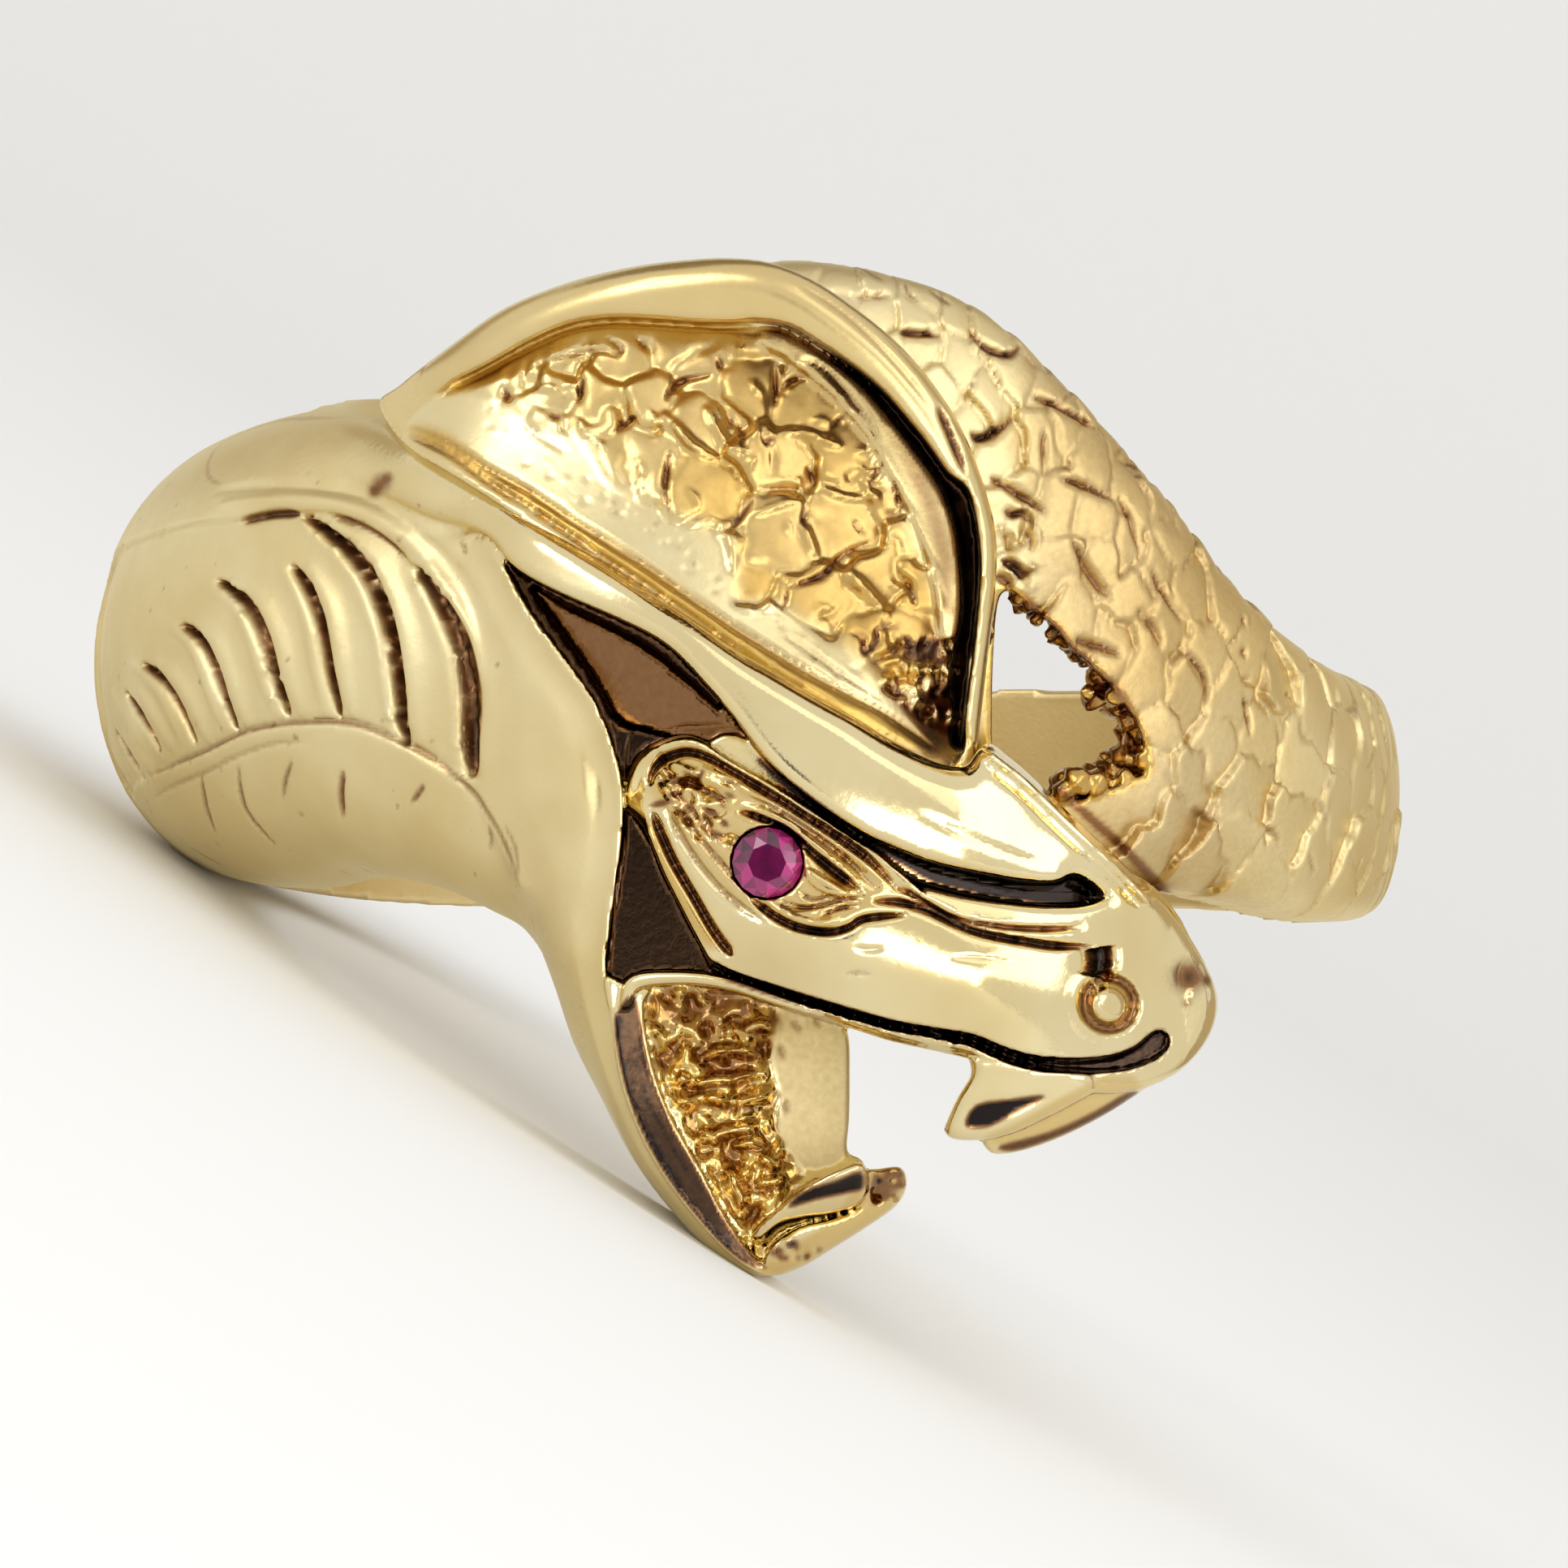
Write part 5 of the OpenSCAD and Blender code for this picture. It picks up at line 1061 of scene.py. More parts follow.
def band_field(p):
    f = (p.band(band_r) + p.band(band_d) - p.r) / p.band(band_slope)
    front = p.y < -3
    f = np.where(front, smin(f, -p.photo(hole_e), 0.08), f)
    f = np.where(front, np.minimum(f, 0.30 - p.photo(R_["floor"][1])), f)
    f = np.minimum(f, (p.phi + 8.6) * MMDEG)
    near = (p.phi > 14) & (p.phi < 42) & (p.z < 4.6) & (p.z > -1.2)
    if near.any():
        g = np.full(int(near.sum()), -9.0, np.float32)
        x, y, z = p.x[near], p.y[near], p.z[near]
        for a, b, c, s, m in nug:
            close = (np.abs(z - c) < 0.5) & (np.abs(x - a) < 0.5)
            v = np.abs(m @ np.stack([x[close] - a, y[close] - b, z[close] - c]))
            g[close] = np.maximum(g[close], (s - v.sum(0) * 0.75 - v.max(0) * 0.3) * 0.8)
        f = f.copy()
        f[near] = smax(f[near], g, 0.04)
    return np.minimum(f, p.r - BORE)


# The lower jaw is its own piece: everything on this side of the mouth's line
JAW_CUT = [(560, 1196), (700, 1192), (745, 1190), (770, 1190), (800, 1190), (850, 1192), (900, 1203), (1000, 1234), (1100, 1264), (1138, 1274),
           (1142, 1330), (1138, 1420), (1160, 1700), (500, 1700), (480, 1300)]
jaw_e = (region(PHOTO, JAW_CUT, pad=60, smooth=False) / PXMM).astype(np.float32)


# The face is its own piece too, under the ridge's lower crease and beside the throat's edge
FACE_CUT = [(775, 902), (850, 895), (890, 893), (905, 890), (930, 920), (955, 948), (1000, 990), (1055, 1028), (1105, 1053), (1150, 1074), (1210, 1088), (1260, 1097),
            (1300, 1099), (1345, 1100), (1400, 1110), (1440, 1126), (1560, 1150), (1560, 1500), (700, 1500), (744, 1300), (747, 1240), (752, 1215), (753, 1180),
            (764, 1090), (772, 1040), (774, 990), (770, 950)]
face_e = (region(PHOTO, FACE_CUT, pad=60, smooth=False) / PXMM).astype(np.float32)


def under_jaw(p):
    """The mouth's line: pieces pass it by very little where it is a deep slit, and by more on the smooth throat."""
    return p.photo(jaw_e), 0.05 + 0.25 * np.clip((880 - p.px) / 40, 0, 1) + 0.12 * np.clip((p.px - 1116) / 12, 0, 1)


def over_jaw(p):
    d, over = under_jaw(p)
    return -d, over


def in_face(p):
    return p.photo(face_e), 0.06 + 0.24 * np.clip((p.px - 1312) / 40, 0, 1)


def off_face(p):
    d, over = in_face(p)
    return -d, over


def dip(d, over=0.3):
    """A cut at d = 0 whose piece runs a little past it, a hair lower there, so two pieces meet with no step."""
    return d + over, -0.004 * np.clip(-d / over, 0, 1)


def above_table(p):
    return POSE[2, 0] * p.x + POSE[2, 1] * p.y + POSE[2, 2] * p.z + SHIFT[2]


def with_cuts(field, cuts):
    def g(p):
        f = field(p)
        for c in cuts:
            v = c(p)
            e, s = dip(*v) if isinstance(v, tuple) else dip(v)
            f = np.minimum(f + s, e)
        return np.minimum(f, above_table(p))
    return g


# ------------------------------------------------------------------ meshing
CORNERS = [(i, j, k) for i in (0, 1) for j in (0, 1) for k in (0, 1)]


def surface_nets(F):
    """Vertices in grid places and quads of the zero level of F, positive inside."""
    S = F > 0
    n = np.zeros(tuple(s - 1 for s in F.shape), np.int8)
    for i, j, k in CORNERS:
        n += S[i:F.shape[0] - 1 + i, j:F.shape[1] - 1 + j, k:F.shape[2] - 1 + k]
    act = (n > 0) & (n < 8)
    idx = np.full(act.shape, -1, np.int32)
    cellsx = np.argwhere(act)
    idx[act] = np.arange(len(cellsx))
    val = {c: F[cellsx[:, 0] + c[0], cellsx[:, 1] + c[1], cellsx[:, 2] + c[2]] for c in CORNERS}
    pos = np.zeros((len(cellsx), 3))
    cnt = np.zeros(len(cellsx))
    for a in CORNERS:
        for ax in range(3):
            if a[ax]:
                continue
            b = tuple(v + (i == ax) for i, v in enumerate(a))
            fa, fb = val[a], val[b]
            m = (fa > 0) != (fb > 0)
            t = np.where(m, fa / np.where(m, fa - fb, 1), 0)
            for i in range(3):
                pos[:, i] += np.where(m, a[i] + (t if i == ax else 0), 0)
            cnt += m
    pos = cellsx + pos / cnt[:, None]
    quads = []
    for ax in range(3):
        sl0 = [slice(None)] * 3
        sl1 = [slice(None)] * 3
        sl0[ax], sl1[ax] = slice(0, -1), slice(1, None)
        cross = S[tuple(sl0)] != S[tuple(sl1)]
        u, v = [i for i in range(3) if i != ax]
        inner = [slice(None)] * 3
        inner[u], inner[v] = slice(1, -1), slice(1, -1)
        cr = np.zeros_like(cross)
        cr[tuple(inner)] = cross[tuple(inner)]
        e = np.argwhere(cr)
        up = S[tuple(e.T)]

        def cell(du, dv):
            q = e.copy()
            q[:, u] -= du
            q[:, v] -= dv
            return idx[tuple(q.T)]

        q = np.stack([cell(1, 1), cell(0, 1), cell(0, 0), cell(1, 0)], 1)
        flip = up if ax != 1 else ~up
        q[~flip] = q[~flip][:, ::-1]
        quads.append(q)
    return pos, np.vstack(quads)


def settle(F):
    """Flips the nodes where the surface would pinch, so that two faces meet at every edge of the nets."""
    for turn in range(70):
        S = F > 0
        fixed = 0
        for ax in range(3):
            u, v = [i for i in range(3) if i != ax]

            def at(du, dv):
                w = [slice(None)] * 3
                w[u], w[v] = slice(du, F.shape[u] - 1 + du), slice(dv, F.shape[v] - 1 + dv)
                return tuple(w)

            a, b, c, d = S[at(0, 0)], S[at(1, 0)], S[at(1, 1)], S[at(0, 1)]
            e = np.argwhere((a == c) & (b == d) & (a != b))
            if len(e):
                q = []
                for du, dv in ((0, 0), (1, 0), (1, 1), (0, 1)):
                    g = e.copy()
                    g[:, u] += du
                    g[:, v] += dv
                    q.append(g)
                val = np.stack([np.where(F[tuple(g.T)] > 0, -9, F[tuple(g.T)]) for g in q])
                best = val.argmax(0)
                g = np.stack(q)[best, np.arange(len(e))]
                F[tuple(g.T)] = 1e-3
                fixed += len(e)
                S = F > 0
        n = np.zeros(tuple(s - 1 for s in F.shape), np.int8)
        sub = {c: S[c[0]:F.shape[0] - 1 + c[0], c[1]:F.shape[1] - 1 + c[1], c[2]:F.shape[2] - 1 + c[2]] for c in CORNERS}
        for c in CORNERS:
            n += sub[c]
        for c in CORNERS[:4] if turn < 35 else []:
            o = tuple(1 - i for i in c)
            for want, inside in ((2, True), (6, False)):
                e = np.argwhere((n == want) & (sub[c] == inside) & (sub[o] == inside))
                if len(e):
                    F[tuple((e + np.array(c)).T)] = -1e-3 if inside else 1e-3
                    fixed += len(e)
        if not fixed:
            break
    return F


def axis(lo, hi, h, near=None):
    """Places from lo to hi, h apart, and closer together in the stretch near = (a, b, step)."""
    out = [lo]
    while out[-1] < hi:
        s = h
        if near:
            s = min(h, near[2] + 0.12 * max(near[0] - out[-1], out[-1] - near[1], 0.0))
        out.append(out[-1] + s)
    return np.array(out)


def build(name, field, phis, zs, rs, h, paint, material, node="ring_body", newton=2, near=(None, None, None)):
    """A closed mesh of the field in a wedge of the ring. near holds the closer stretches of angle (in mm at r 12), height and radius."""
    more = 1.0
    h = h * more
    near = [n and (n[0], n[1], n[2] * more) for n in near]
    phi = axis(phis[0] * MMDEG, phis[1] * MMDEG, h, near[0]) / MMDEG
    z = axis(zs[0], zs[1], h, near[1])
    r = axis(rs[0], rs[1], h * 1.05, near[2])
    mid = (phis[0] + phis[1]) / 2
    F = np.empty((len(phi), len(z), len(r)), np.float32)
    step = max(1, int(1.2e6 / (len(z) * len(r))))
    Z, Rr = np.meshgrid(z, r, indexing="ij")
    for i in range(0, len(phi), step):
        a = np.radians(phi[i:i + step])[:, None, None]
        x = (Rr[None] * np.sin(a)).ravel()
        y = (-Rr[None] * np.cos(a)).ravel()
        zz = np.broadcast_to(Z[None], (len(a),) + Z.shape).ravel()
        F[i:i + step] = field(Pts(x, y, zz, mid, True)).reshape(len(a), len(z), len(r))
    F[[0, -1]] = -1
    F[:, [0, -1]] = -1
    F[:, :, [0, -1]] = -1
    pos, quads = surface_nets(settle(F))
    a = np.radians(np.interp(pos[:, 0], np.arange(len(phi)), phi))
    zz = np.interp(pos[:, 1], np.arange(len(z)), z)
    rr = np.interp(pos[:, 2], np.arange(len(r)), r)
    P = np.stack([rr * np.sin(a), -rr * np.cos(a), zz], 1)
    eps = 0.012

    def ev(Q):
        return field(Pts(Q[:, 0], Q[:, 1], Q[:, 2], mid, False)).astype(float)

    for _ in range(newton):
        f0 = ev(P)
        g = np.stack([ev(P + np.eye(3)[i] * eps) - ev(P - np.eye(3)[i] * eps) for i in range(3)], 1) / (2 * eps)
        g2 = (g * g).sum(1)
        mv = -(f0 / np.maximum(g2, 0.3))[:, None] * g
        ln = np.linalg.norm(mv, axis=1, keepdims=True)
        P += mv * np.minimum(1, 0.5 * h / np.maximum(ln, 1e-9))
    # keep the biggest shell and drop specks
    P, quads = biggest(P, quads)
    P = relax(P, quads, 2)
    tone, satin, warm = paint(Pts(P[:, 0], P[:, 1], P[:, 2], mid, False))
    me = bpy.data.meshes.new(name)
    co = to_row(P)
    me.vertices.add(len(co))
    me.vertices.foreach_set("co", co.astype(np.float32).ravel())
    me.loops.add(len(quads) * 4)
    me.loops.foreach_set("vertex_index", quads.astype(np.int32).ravel())
    me.polygons.add(len(quads))
    me.polygons.foreach_set("loop_start", np.arange(0, len(quads) * 4, 4, dtype=np.int32))
    me.polygons.foreach_set("use_smooth", np.ones(len(quads), bool))
    me.update(calc_edges=True)
    for key, v in (("tone", tone), ("satin", satin), ("warm", warm)):
        at = me.attributes.new(key, "FLOAT", "POINT")
        at.data.foreach_set("value", np.clip(v, 0, 1).astype(np.float32))
    me.validate()
    o = bpy.data.objects.new(name, me)
    bpy.context.scene.collection.objects.link(o)
    o.data.materials.append(material)
    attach(o, "root")
    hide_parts(node)
    low = P[co[:, 2].argmin()].round(2)
    print(name, len(P), "vertices", len(quads) * 2, "triangles, lowest", round(float(co[:, 2].min() * 1000), 3), "mm at", low)
    return o


def relax(P, quads, rounds):
    """Evens out the chatter along sharp edges and keeps the volume."""
    n = len(P)
    a = quads.ravel()
    b = np.roll(quads, -1, axis=1).ravel()
    deg = (np.bincount(a, minlength=n) + np.bincount(b, minlength=n)).astype(float)
    for _ in range(rounds):
        for lam in (0.55, -0.57):
            mean = np.stack([np.bincount(a, P[b, i], n) + np.bincount(b, P[a, i], n) for i in range(3)], 1) / deg[:, None]
            P = P + lam * (mean - P)
    return P


def biggest(P, quads):
    """Only the largest connected shell."""
    lab = np.arange(len(P))
    e = np.vstack([quads[:, [0, 1]], quads[:, [1, 2]], quads[:, [2, 3]]])
    while True:
        m = np.minimum(lab[e[:, 0]], lab[e[:, 1]])
        new = lab.copy()
        np.minimum.at(new, e[:, 0], m)
        np.minimum.at(new, e[:, 1], m)
        new = new[new]
        if (new == lab).all():
            break
        lab = new
    root, count = np.unique(lab, return_counts=True)
    keep = lab == root[count.argmax()]
    m = np.full(len(P), -1, np.int64)
    m[keep] = np.arange(int(keep.sum()))
    q = m[quads]
    return P[keep], q[(q >= 0).all(1)]


# ---------------------------------------------------------------- materials
def gold(name, polish, grain, dark=(0.71, 0.575, 0.295, 1), pale=(0.78, 0.665, 0.385, 1)):
    """Cast yellow gold. The tone attribute is dark tarnish in the grooves and painted shade and painted reflections
    elsewhere (slits, recess, chamfer, crack, gaps), and satin how matt it is.
    """
    m = bpy.data.materials.new(name)
    m.use_nodes = True
    nt = m.node_tree
    for n in list(nt.nodes):
        nt.nodes.remove(n)

    def node(kind, **kw):
        n = nt.nodes.new(kind)
        for k2, v in kw.items():
            setattr(n, k2, v)
        return n

    out = node("ShaderNodeOutputMaterial")
    b = node("ShaderNodeBsdfPrincipled")
    nt.links.new(b.outputs[0], out.inputs[0])
    b.inputs["Metallic"].default_value = 1.0
    b.inputs["Specular Tint"].default_value = (1.0, 0.97, 0.88, 1)
    tone = node("ShaderNodeAttribute", attribute_name="tone")
    satin = node("ShaderNodeAttribute", attribute_name="satin")
    co = node("ShaderNodeTexCoord")
    big = node("ShaderNodeTexNoise")
    big.inputs["Scale"].default_value = 420
    big.inputs["Detail"].default_value = 3
    nt.links.new(co.outputs["Object"], big.inputs["Vector"])
    fine = node("ShaderNodeTexNoise")
    fine.inputs["Scale"].default_value = 9000
    fine.inputs["Detail"].default_value = 4
    nt.links.new(co.outputs["Object"], fine.inputs["Vector"])
    # gold varies a little from place to place
    vary = node("ShaderNodeMix", data_type="RGBA")
    vary.inputs["A"].default_value = dark
    vary.inputs["B"].default_value = pale
    spread = node("ShaderNodeMapRange")
    spread.inputs["From Min"].default_value = 0.36
    spread.inputs["From Max"].default_value = 0.64
    nt.links.new(big.outputs["Fac"], spread.inputs["Value"])
    nt.links.new(spread.outputs["Result"], vary.inputs["Factor"])
    warm = node("ShaderNodeAttribute", attribute_name="warm")
    deep = node("ShaderNodeMix", data_type="RGBA")
    deep.inputs["B"].default_value = (0.60, 0.385, 0.10, 1)
    nt.links.new(warm.outputs["Fac"], deep.inputs["Factor"])
    nt.links.new(vary.outputs["Result"], deep.inputs["A"])
    # tarnish and painted shade break up a little at their edges: brown where the tone is thin, black where it is thick
    br = node("ShaderNodeMath", operation="MULTIPLY_ADD")
    br.inputs[1].default_value = 0.16
    nt.links.new(fine.outputs["Fac"], br.inputs[0])
    nt.links.new(tone.outputs["Fac"], br.inputs[2])

    def share(lo, hi):
        g = node("ShaderNodeMapRange")
        g.inputs["From Min"].default_value = lo
        g.inputs["From Max"].default_value = hi
        nt.links.new(br.outputs[0], g.inputs["Value"])
        return g.outputs["Result"]

    brown = node("ShaderNodeMix", data_type="RGBA")
    brown.inputs["B"].default_value = (0.27, 0.135, 0.058, 1)
    nt.links.new(share(0.12, 0.60), brown.inputs["Factor"])
    nt.links.new(deep.outputs["Result"], brown.inputs["A"])
    black = node("ShaderNodeMix", data_type="RGBA")
    black.inputs["B"].default_value = (0.024, 0.019, 0.018, 1)
    nt.links.new(share(0.64, 1.02), black.inputs["Factor"])
    nt.links.new(brown.outputs["Result"], black.inputs["A"])
    nt.links.new(black.outputs["Result"], b.inputs["Base Color"])
    rough = node("ShaderNodeMapRange")
    rough.inputs["To Min"].default_value = polish
    rough.inputs["To Max"].default_value = 0.56
    nt.links.new(satin.outputs["Fac"], rough.inputs["Value"])
    rn = node("ShaderNodeMath", operation="MULTIPLY_ADD")
    rn.inputs[1].default_value = 0.10
    nt.links.new(fine.outputs["Fac"], rn.inputs[0])
    nt.links.new(rough.outputs["Result"], rn.inputs[2])
    nt.links.new(rn.outputs[0], b.inputs["Roughness"])
    bp = node("ShaderNodeBump")
    bp.inputs["Strength"].default_value = grain
    bp.inputs["Distance"].default_value = 0.00002
    nt.links.new(fine.outputs["Fac"], bp.inputs["Height"])
    nt.links.new(bp.outputs[0], b.inputs["Normal"])
    return m


polished = gold("gold_polished", 0.07, 0.10)
satin_gold = gold("gold_satin", 0.14, 0.28, (0.715, 0.585, 0.305, 1), (0.78, 0.675, 0.40, 1))


shine = PHOTO.new()
stroke(PHOTO, PHOTO.new(), [(418, 520), (470, 546), (530, 575), (600, 618), (660, 655), (720, 692), (800, 740)], 17, 0.0, shine, 0.95, ends=0.15, t_w=1.0)


def paint_front(p):
    on_left_side = np.clip((-24 - p.phi) / 4, 0, 1)
    face = (p.y < -4) & (p.r > 9.3)
    sat = p.photo(front_satin) * face
    tl = p.left(left_tone) * (p.phi < -20) * (p.r > p.left(left_r) - 0.75)
    tp = p.photo(front_tone) * face
    in_rec = (p.y > -10.62) & (p.y < -9.6) & (p.photo(recess_e_map) > 0.02)
    # painted reflection of the dark camera side on the recess
    tp = np.where(in_rec, np.maximum(tp, p.photo(recess_painted_reflection)), tp)
    satin = 0.62 * on_left_side
    thr = np.clip((770 - p.px) / 60, 0, 1) * np.clip((p.py - 640) / 60, 0, 1)
    satin = np.maximum(satin, 0.35 * thr)
    satin = np.where(in_rec, 0.0, np.maximum(satin, sat)) * (1 - p.photo(shine) * face)
    # the seat under the ruby is painted dark: painted shade
    q = np.sqrt((p.x - RUBY_C[0]) ** 2 + (p.z - RUBY_C[2]) ** 2)
    tp = np.where((q < 0.62) & (p.r < 12.50) & (p.r > 11.6), np.maximum(tp, 0.8), tp)
    warm = np.maximum(p.photo(front_warm) * face, 0.3 * np.clip((-80 - p.phi) / 17, 0, 1))
    return np.maximum(tl, tp), satin, warm


def paint_hood(p):
    t = p.photo(hood_tone) * ((p.y < -4) & (p.r > 9.3))
    rim = np.clip(p.photo(R_["rim"][1]) / 0.05, 0, 1)
    warm = np.maximum(p.photo(hood_warm) * (rim < 0.5), 0.30 * rim) * (p.r > 10.2)
    return t, 0.27 + 0.24 * np.clip(warm - 0.3, 0, 1), warm


def paint_band(p):
    t = p.band(band_tone)
    near = (p.phi > 15) & (p.phi < 40) & (p.photo(hole_e) > -0.12)
    wall = near & (p.r < p.band(band_r) - 0.25)
    # the walls inside the hole are painted darker and mottled: painted shade
    t = np.where(wall, 0.40 + 0.32 * np.sin(p.x * 9) * np.sin(p.z * 11 + p.r * 7), t)
    # painted shade in the gaps beside the head and along the hole
    t = np.maximum(t, p.photo(gap_painted_shade) * (p.y < -5))
    t = np.where(p.r < 9.3, 0, t)
    t = np.maximum(t, 0.15 * np.clip((p.px - 1225) / 60, 0, 1) * np.clip((1640 - p.px) / 160, 0, 1) * (p.y < 0) * (p.r > 9.6))
    warm = 0.12 + 0.36 * np.clip((p.px - 1230) / 150, 0, 1) * (1 - 0.5 * np.clip((p.py - 800) / 150, 0, 1)) * (1 - 0.5 * np.clip((p.px - 1500) / 130, 0, 1))
    back = np.clip(p.y / 3 + 0.3, 0, 1)
    warm = np.where(near, 0.9, warm * (1 - back) + 0.3 * back)
    return t, np.where(near, 0.1, 0.62), warm


build("snake_belly", with_cuts(front_field, [lambda p: (-27.0 - p.phi) * MMDEG, lambda p: (p.phi + 100.0) * MMDEG]), (-103, -24.8), (-3.7, 7.3), (8.95, 12.75), 0.076, paint_front, satin_gold,
      near=((-78 * MMDEG, -27 * MMDEG, 0.068), (-1.6, 4.6, 0.068), None))
build("snake_neck", with_cuts(front_field, [lambda p: (p.phi + 27.0) * MMDEG, over_jaw, off_face]), (-29.2, 41), (-4.6, 7.0), (8.95, 13.3), 0.074, paint_front, polished)
build("snake_head", with_cuts(front_field, [over_jaw, in_face]), (-24, 41), (-6.6, 2.0), (8.95, 13.3), 0.070, paint_front, polished,
      near=((-14 * MMDEG, 15 * MMDEG, 0.046), (-3.4, 1.2, 0.046), (11.2, 13.2, 0.052)))
build("snake_lower_jaw", with_cuts(front_field, [lambda p: (p.phi + 29.0) * MMDEG, under_jaw]), (-29.2, 12), (-8.5, -2.4), (8.95, 12.6), 0.060, paint_front, polished,
      near=((-11 * MMDEG, 11 * MMDEG, 0.048), None, None))
build("snake_hood", with_cuts(hood_field, []), (-42, 18), (-0.4, 8.9), (8.95, 12.6), 0.062, paint_hood, polished, near=(None, None, (10.6, 12.6, 0.055)))
build("snake_scaled_body", with_cuts(band_field, [lambda p: (110 - p.phi) * MMDEG]), (-9.5, 112.5), (-2.7, 8.9), (8.95, 11.3), 0.080, paint_band, satin_gold,
      near=((0, 62 * MMDEG, 0.057), None, None))
build("ring_shank", with_cuts(band_field, [lambda p: (p.phi - 110) * MMDEG, lambda p: (260 - p.phi) * MMDEG]), (107.5, 262.5), (-2.7, 6.2), (8.95, 12.5), 0.12, paint_band, satin_gold)


# -------------------------------------------------------------------- ruby
def ruby_piece():
    """A round brilliant: table, star, kite and girdle facets, and a pointed back."""
    R, up = 0.57, RUBY_N
    side = np.cross([0, 0, 1], up)
    side /= np.linalg.norm(side)
    top = np.cross(up, side)
    rings = [
        (0.54 * R, 0.215, 8, 0.0), (0.80 * R, 0.135, 8, 0.5), (1.0 * R, 0.045, 16, 0.25), (1.0 * R, 0.005, 16, 0.25), (0.42 * R, -0.30, 8, 0.5)]
    verts, loops = [], []
    for rad, hgt, n, off in rings:
        ids = []
        for i in range(n):
            a = 2 * math.pi * (i + off * (1 if n == 8 else 0)) / n
            q = RUBY_C + up * hgt + side * rad * math.cos(a) + top * rad * math.sin(a)
            ids.append(len(verts))
            verts.append(q)
        loops.append(ids)
    tip = len(verts)
    verts.append(RUBY_C - up * 0.46)
    T, K, G, H, L = loops
    faces = [T]
    for i in range(8):
        j = (i + 1) % 8
        faces.append([T[i], K[i], T[j]])                         # star facets
        g0, g1, g2 = G[2 * i], G[2 * i + 1], G[(2 * i + 2) % 16]
        faces.append([T[i], K[i - 1], g0])
        faces.append([T[i], g0, K[i]])
        faces.append([K[i], g0, g1])
        faces.append([K[i], g1, g2])
        h0, h1, h2 = H[2 * i], H[2 * i + 1], H[(2 * i + 2) % 16]
        faces.append([h0, L[i], h1])
        faces.append([h1, L[i], h2])
        faces.append([h0, L[i - 1], L[i]])
        faces.append([L[i], L[i - 1], tip])
    for i in range(16):
        j = (i + 1) % 16
        faces.append([G[i], H[i], H[j], G[j]])
    me = bpy.data.meshes.new("eye_ruby_cut")
    me.from_pydata([tuple(v) for v in to_row(np.array(verts))], [], [tuple(f) for f in faces])
    me.validate()
    bm = bmesh.new()
    bm.from_mesh(me)
    bmesh.ops.recalc_face_normals(bm, faces=bm.faces)
    bm.to_mesh(me)
    bm.free()
    # each face of the stone gets a value: lighter towards one side of the stone, painted light, and varied at random
    # from face to face
    shade = me.attributes.new("facet_and_painted_light", "FLOAT", "FACE")
    for i, f in enumerate(me.polygons):
        q = np.array(f.center) * 1000 - (POSE @ RUBY_C + SHIFT)
        shade.data[i].value = float(np.clip(0.42 + 0.45 * q @ (POSE @ [0.7, 0, -0.7]) + 0.30 * ((i * 7) % 5 - 2) / 2, 0, 1))
    o = bpy.data.objects.new("eye_ruby_cut", me)
    bpy.context.scene.collection.objects.link(o)
    m = bpy.data.materials.new("ruby")
    m.use_nodes = True
    nt = m.node_tree
    b = nt.nodes["Principled BSDF"]
    b.inputs["Roughness"].default_value = 0.02
    b.inputs["IOR"].default_value = 1.76
    b.inputs["Transmission Weight"].default_value = 0.35
    b.inputs["Coat Weight"].default_value = 0.0
    b.inputs["Coat Roughness"].default_value = 0.02
    co = nt.nodes.new("ShaderNodeTexCoord")
    no = nt.nodes.new("ShaderNodeTexNoise")
    no.inputs["Scale"].default_value = 3000
    at = nt.nodes.new("ShaderNodeAttribute")
    at.attribute_name = "facet_and_painted_light"
    mix = nt.nodes.new("ShaderNodeMath")
    mix.operation = "MULTIPLY_ADD"
    mix.inputs[1].default_value = 0.35
    ra = nt.nodes.new("ShaderNodeValToRGB")
    ra.color_ramp.elements[0].position = 0.15
    ra.color_ramp.elements[0].color = (0.055, 0.002, 0.028, 1)
    ra.color_ramp.elements[1].color = (0.66, 0.020, 0.28, 1)
    mid_stop = ra.color_ramp.elements.new(0.6)
    mid_stop.color = (0.32, 0.006, 0.13, 1)
    nt.links.new(co.outputs["Object"], no.inputs["Vector"])
    nt.links.new(no.outputs["Fac"], mix.inputs[0])
    nt.links.new(at.outputs["Fac"], mix.inputs[2])
    nt.links.new(mix.outputs[0], ra.inputs["Fac"])
    nt.links.new(ra.outputs["Color"], b.inputs["Base Color"])
    o.data.materials.append(m)
    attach(o, "root")
    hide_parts("eye_ruby")
    return o


ruby_piece()


# ------------------------------------------------------------------- stage
def plain(name, col, rough=0.8):
    m = bpy.data.materials.new(name)
    m.use_nodes = True
    b = m.node_tree.nodes["Principled BSDF"]
    b.inputs["Base Color"].default_value = (*col, 1)
    b.inputs["Roughness"].default_value = rough
    return m


def sweep_floor():
    """Pale floor that curves up into a backdrop behind the ring."""
    prof = [(-0.9, 0.0), (0.30, 0.0)]
    for i in range(1, 13):
        a = math.pi / 2 * i / 12
        prof.append((0.30 + 0.25 * math.sin(a), 0.25 - 0.25 * math.cos(a)))
    prof.append((0.55, 1.0))
    verts = [(x, y, z) for y, z in prof for x in (-0.9, 0.9)]
    faces = [(2 * i, 2 * i + 1, 2 * i + 3, 2 * i + 2) for i in range(len(prof) - 1)]
    me = bpy.data.meshes.new("floor")
    me.from_pydata(verts, [], faces)
    for p in me.polygons:
        p.use_smooth = True
    o = bpy.data.objects.new("floor", me)
    bpy.context.scene.collection.objects.link(o)
    o.data.materials.append(plain("pale_floor", (0.83, 0.83, 0.825)))
    return o


sweep_floor()


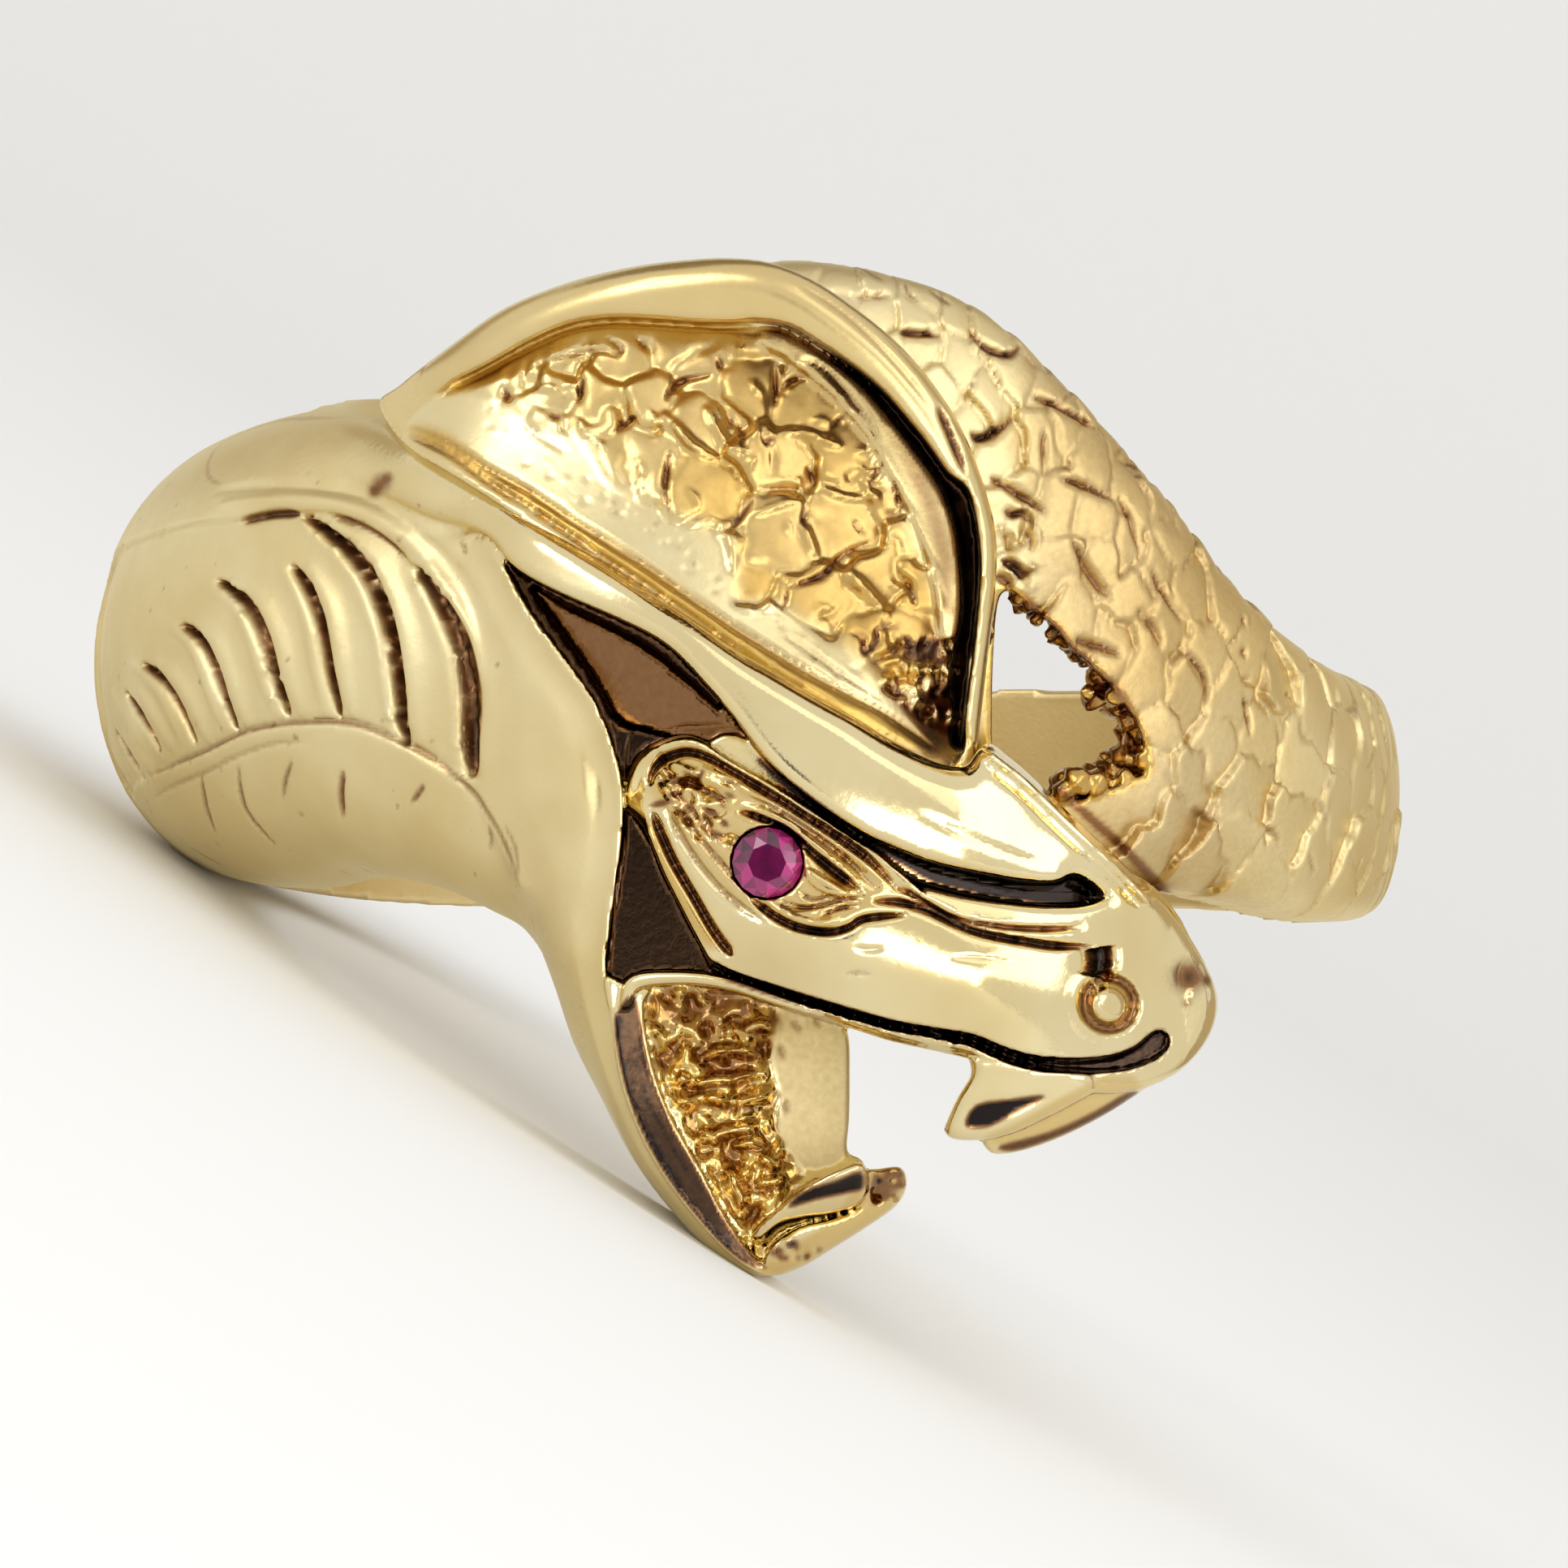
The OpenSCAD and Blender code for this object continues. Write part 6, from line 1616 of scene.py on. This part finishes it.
def card(name, centre, size, toward, col, roll=0.0):
    """A card seen only in reflections."""
    me = bpy.data.meshes.new(name)
    w, h = size[0] / 2, size[1] / 2
    me.from_pydata([(-w, -h, 0), (w, -h, 0), (w, h, 0), (-w, h, 0)], [], [(0, 1, 2, 3)])
    o = bpy.data.objects.new(name, me)
    bpy.context.scene.collection.objects.link(o)
    o.location = centre
    o.rotation_mode = "QUATERNION"
    o.rotation_quaternion = (Vector(toward) - Vector(centre)).to_track_quat("Z", "Y")
    o.data.materials.append(plain(name + "_m", col))
    o.visible_camera = o.visible_diffuse = o.visible_shadow = o.visible_transmission = False
    return o


def lamp(name, centre, size, toward, power, col=(1, 1, 1)):
    li = bpy.data.lights.new(name, "AREA")
    li.shape = "RECTANGLE"
    li.size, li.size_y = size
    li.energy = power
    li.color = col
    o = bpy.data.objects.new(name, li)
    bpy.context.scene.collection.objects.link(o)
    o.location = centre
    o.rotation_mode = "QUATERNION"
    o.rotation_quaternion = (Vector(toward) - Vector(centre)).to_track_quat("-Z", "Y")
    return o


def local(x, y, z):
    return Vector(to_row([x, y, z]))


mid = local(0, -9, 0)
# dark shape of the camera, seen only as a reflection in surfaces square to it
card("dark_card", local(-3, -170, 6), (0.016, 0.034), mid, (0.06, 0.06, 0.065))

# tan walls beside and above the ring darken what is seen at a grazing angle
card("wall_left", local(-120, 85, 20), (0.08, 0.26), mid, (0.46, 0.38, 0.27))
card("wall_right", local(120, 95, 20), (0.07, 0.26), mid, (0.50, 0.42, 0.30))
card("wall_top", local(0, 80, 130), (0.22, 0.08), mid, (0.26, 0.20, 0.13))

world = bpy.data.worlds.new("soft_world")
bpy.context.scene.world = world
world.use_nodes = True
bg = world.node_tree.nodes["Background"]
bg.inputs[0].default_value = (1.0, 0.99, 0.97, 1)
bg.inputs[1].default_value = 0.94

lamp("key", local(-200, -317, 267), (0.235, 0.235), mid, 0.50, (1.0, 0.98, 0.94))
lamp("side", local(190, -140, 40), (0.12, 0.20), mid, 0.12, (1.0, 0.98, 0.95))
lamp("ridge_light", local(110, -170, 130), (0.12, 0.12), mid, 0.028, (1.0, 0.99, 0.95))
lamp("cheek", local(75, -190, -35), (0.10, 0.09), mid, 0.075, (1.0, 0.99, 0.93))

# ------------------------------------------------------------------ camera
cam = bpy.data.cameras.new("camera")
cam.sensor_width = 36.0
cam.lens = 36.0 * CAM_D / (1932 / PPM)
co = bpy.data.objects.new("camera", cam)
bpy.context.scene.collection.objects.link(co)
axes = np.column_stack([POSE @ [1, 0, 0], POSE @ [0, 0, 1], POSE @ [0, -1, 0]])
co.matrix_world = Matrix.Translation(local(CAM_X, -CAM_D, 0)) @ Matrix(axes.tolist()).to_4x4()
cam.clip_start, cam.clip_end = 0.01, 20
bpy.context.scene.camera = co
bpy.context.scene.view_settings.view_transform = "Standard"
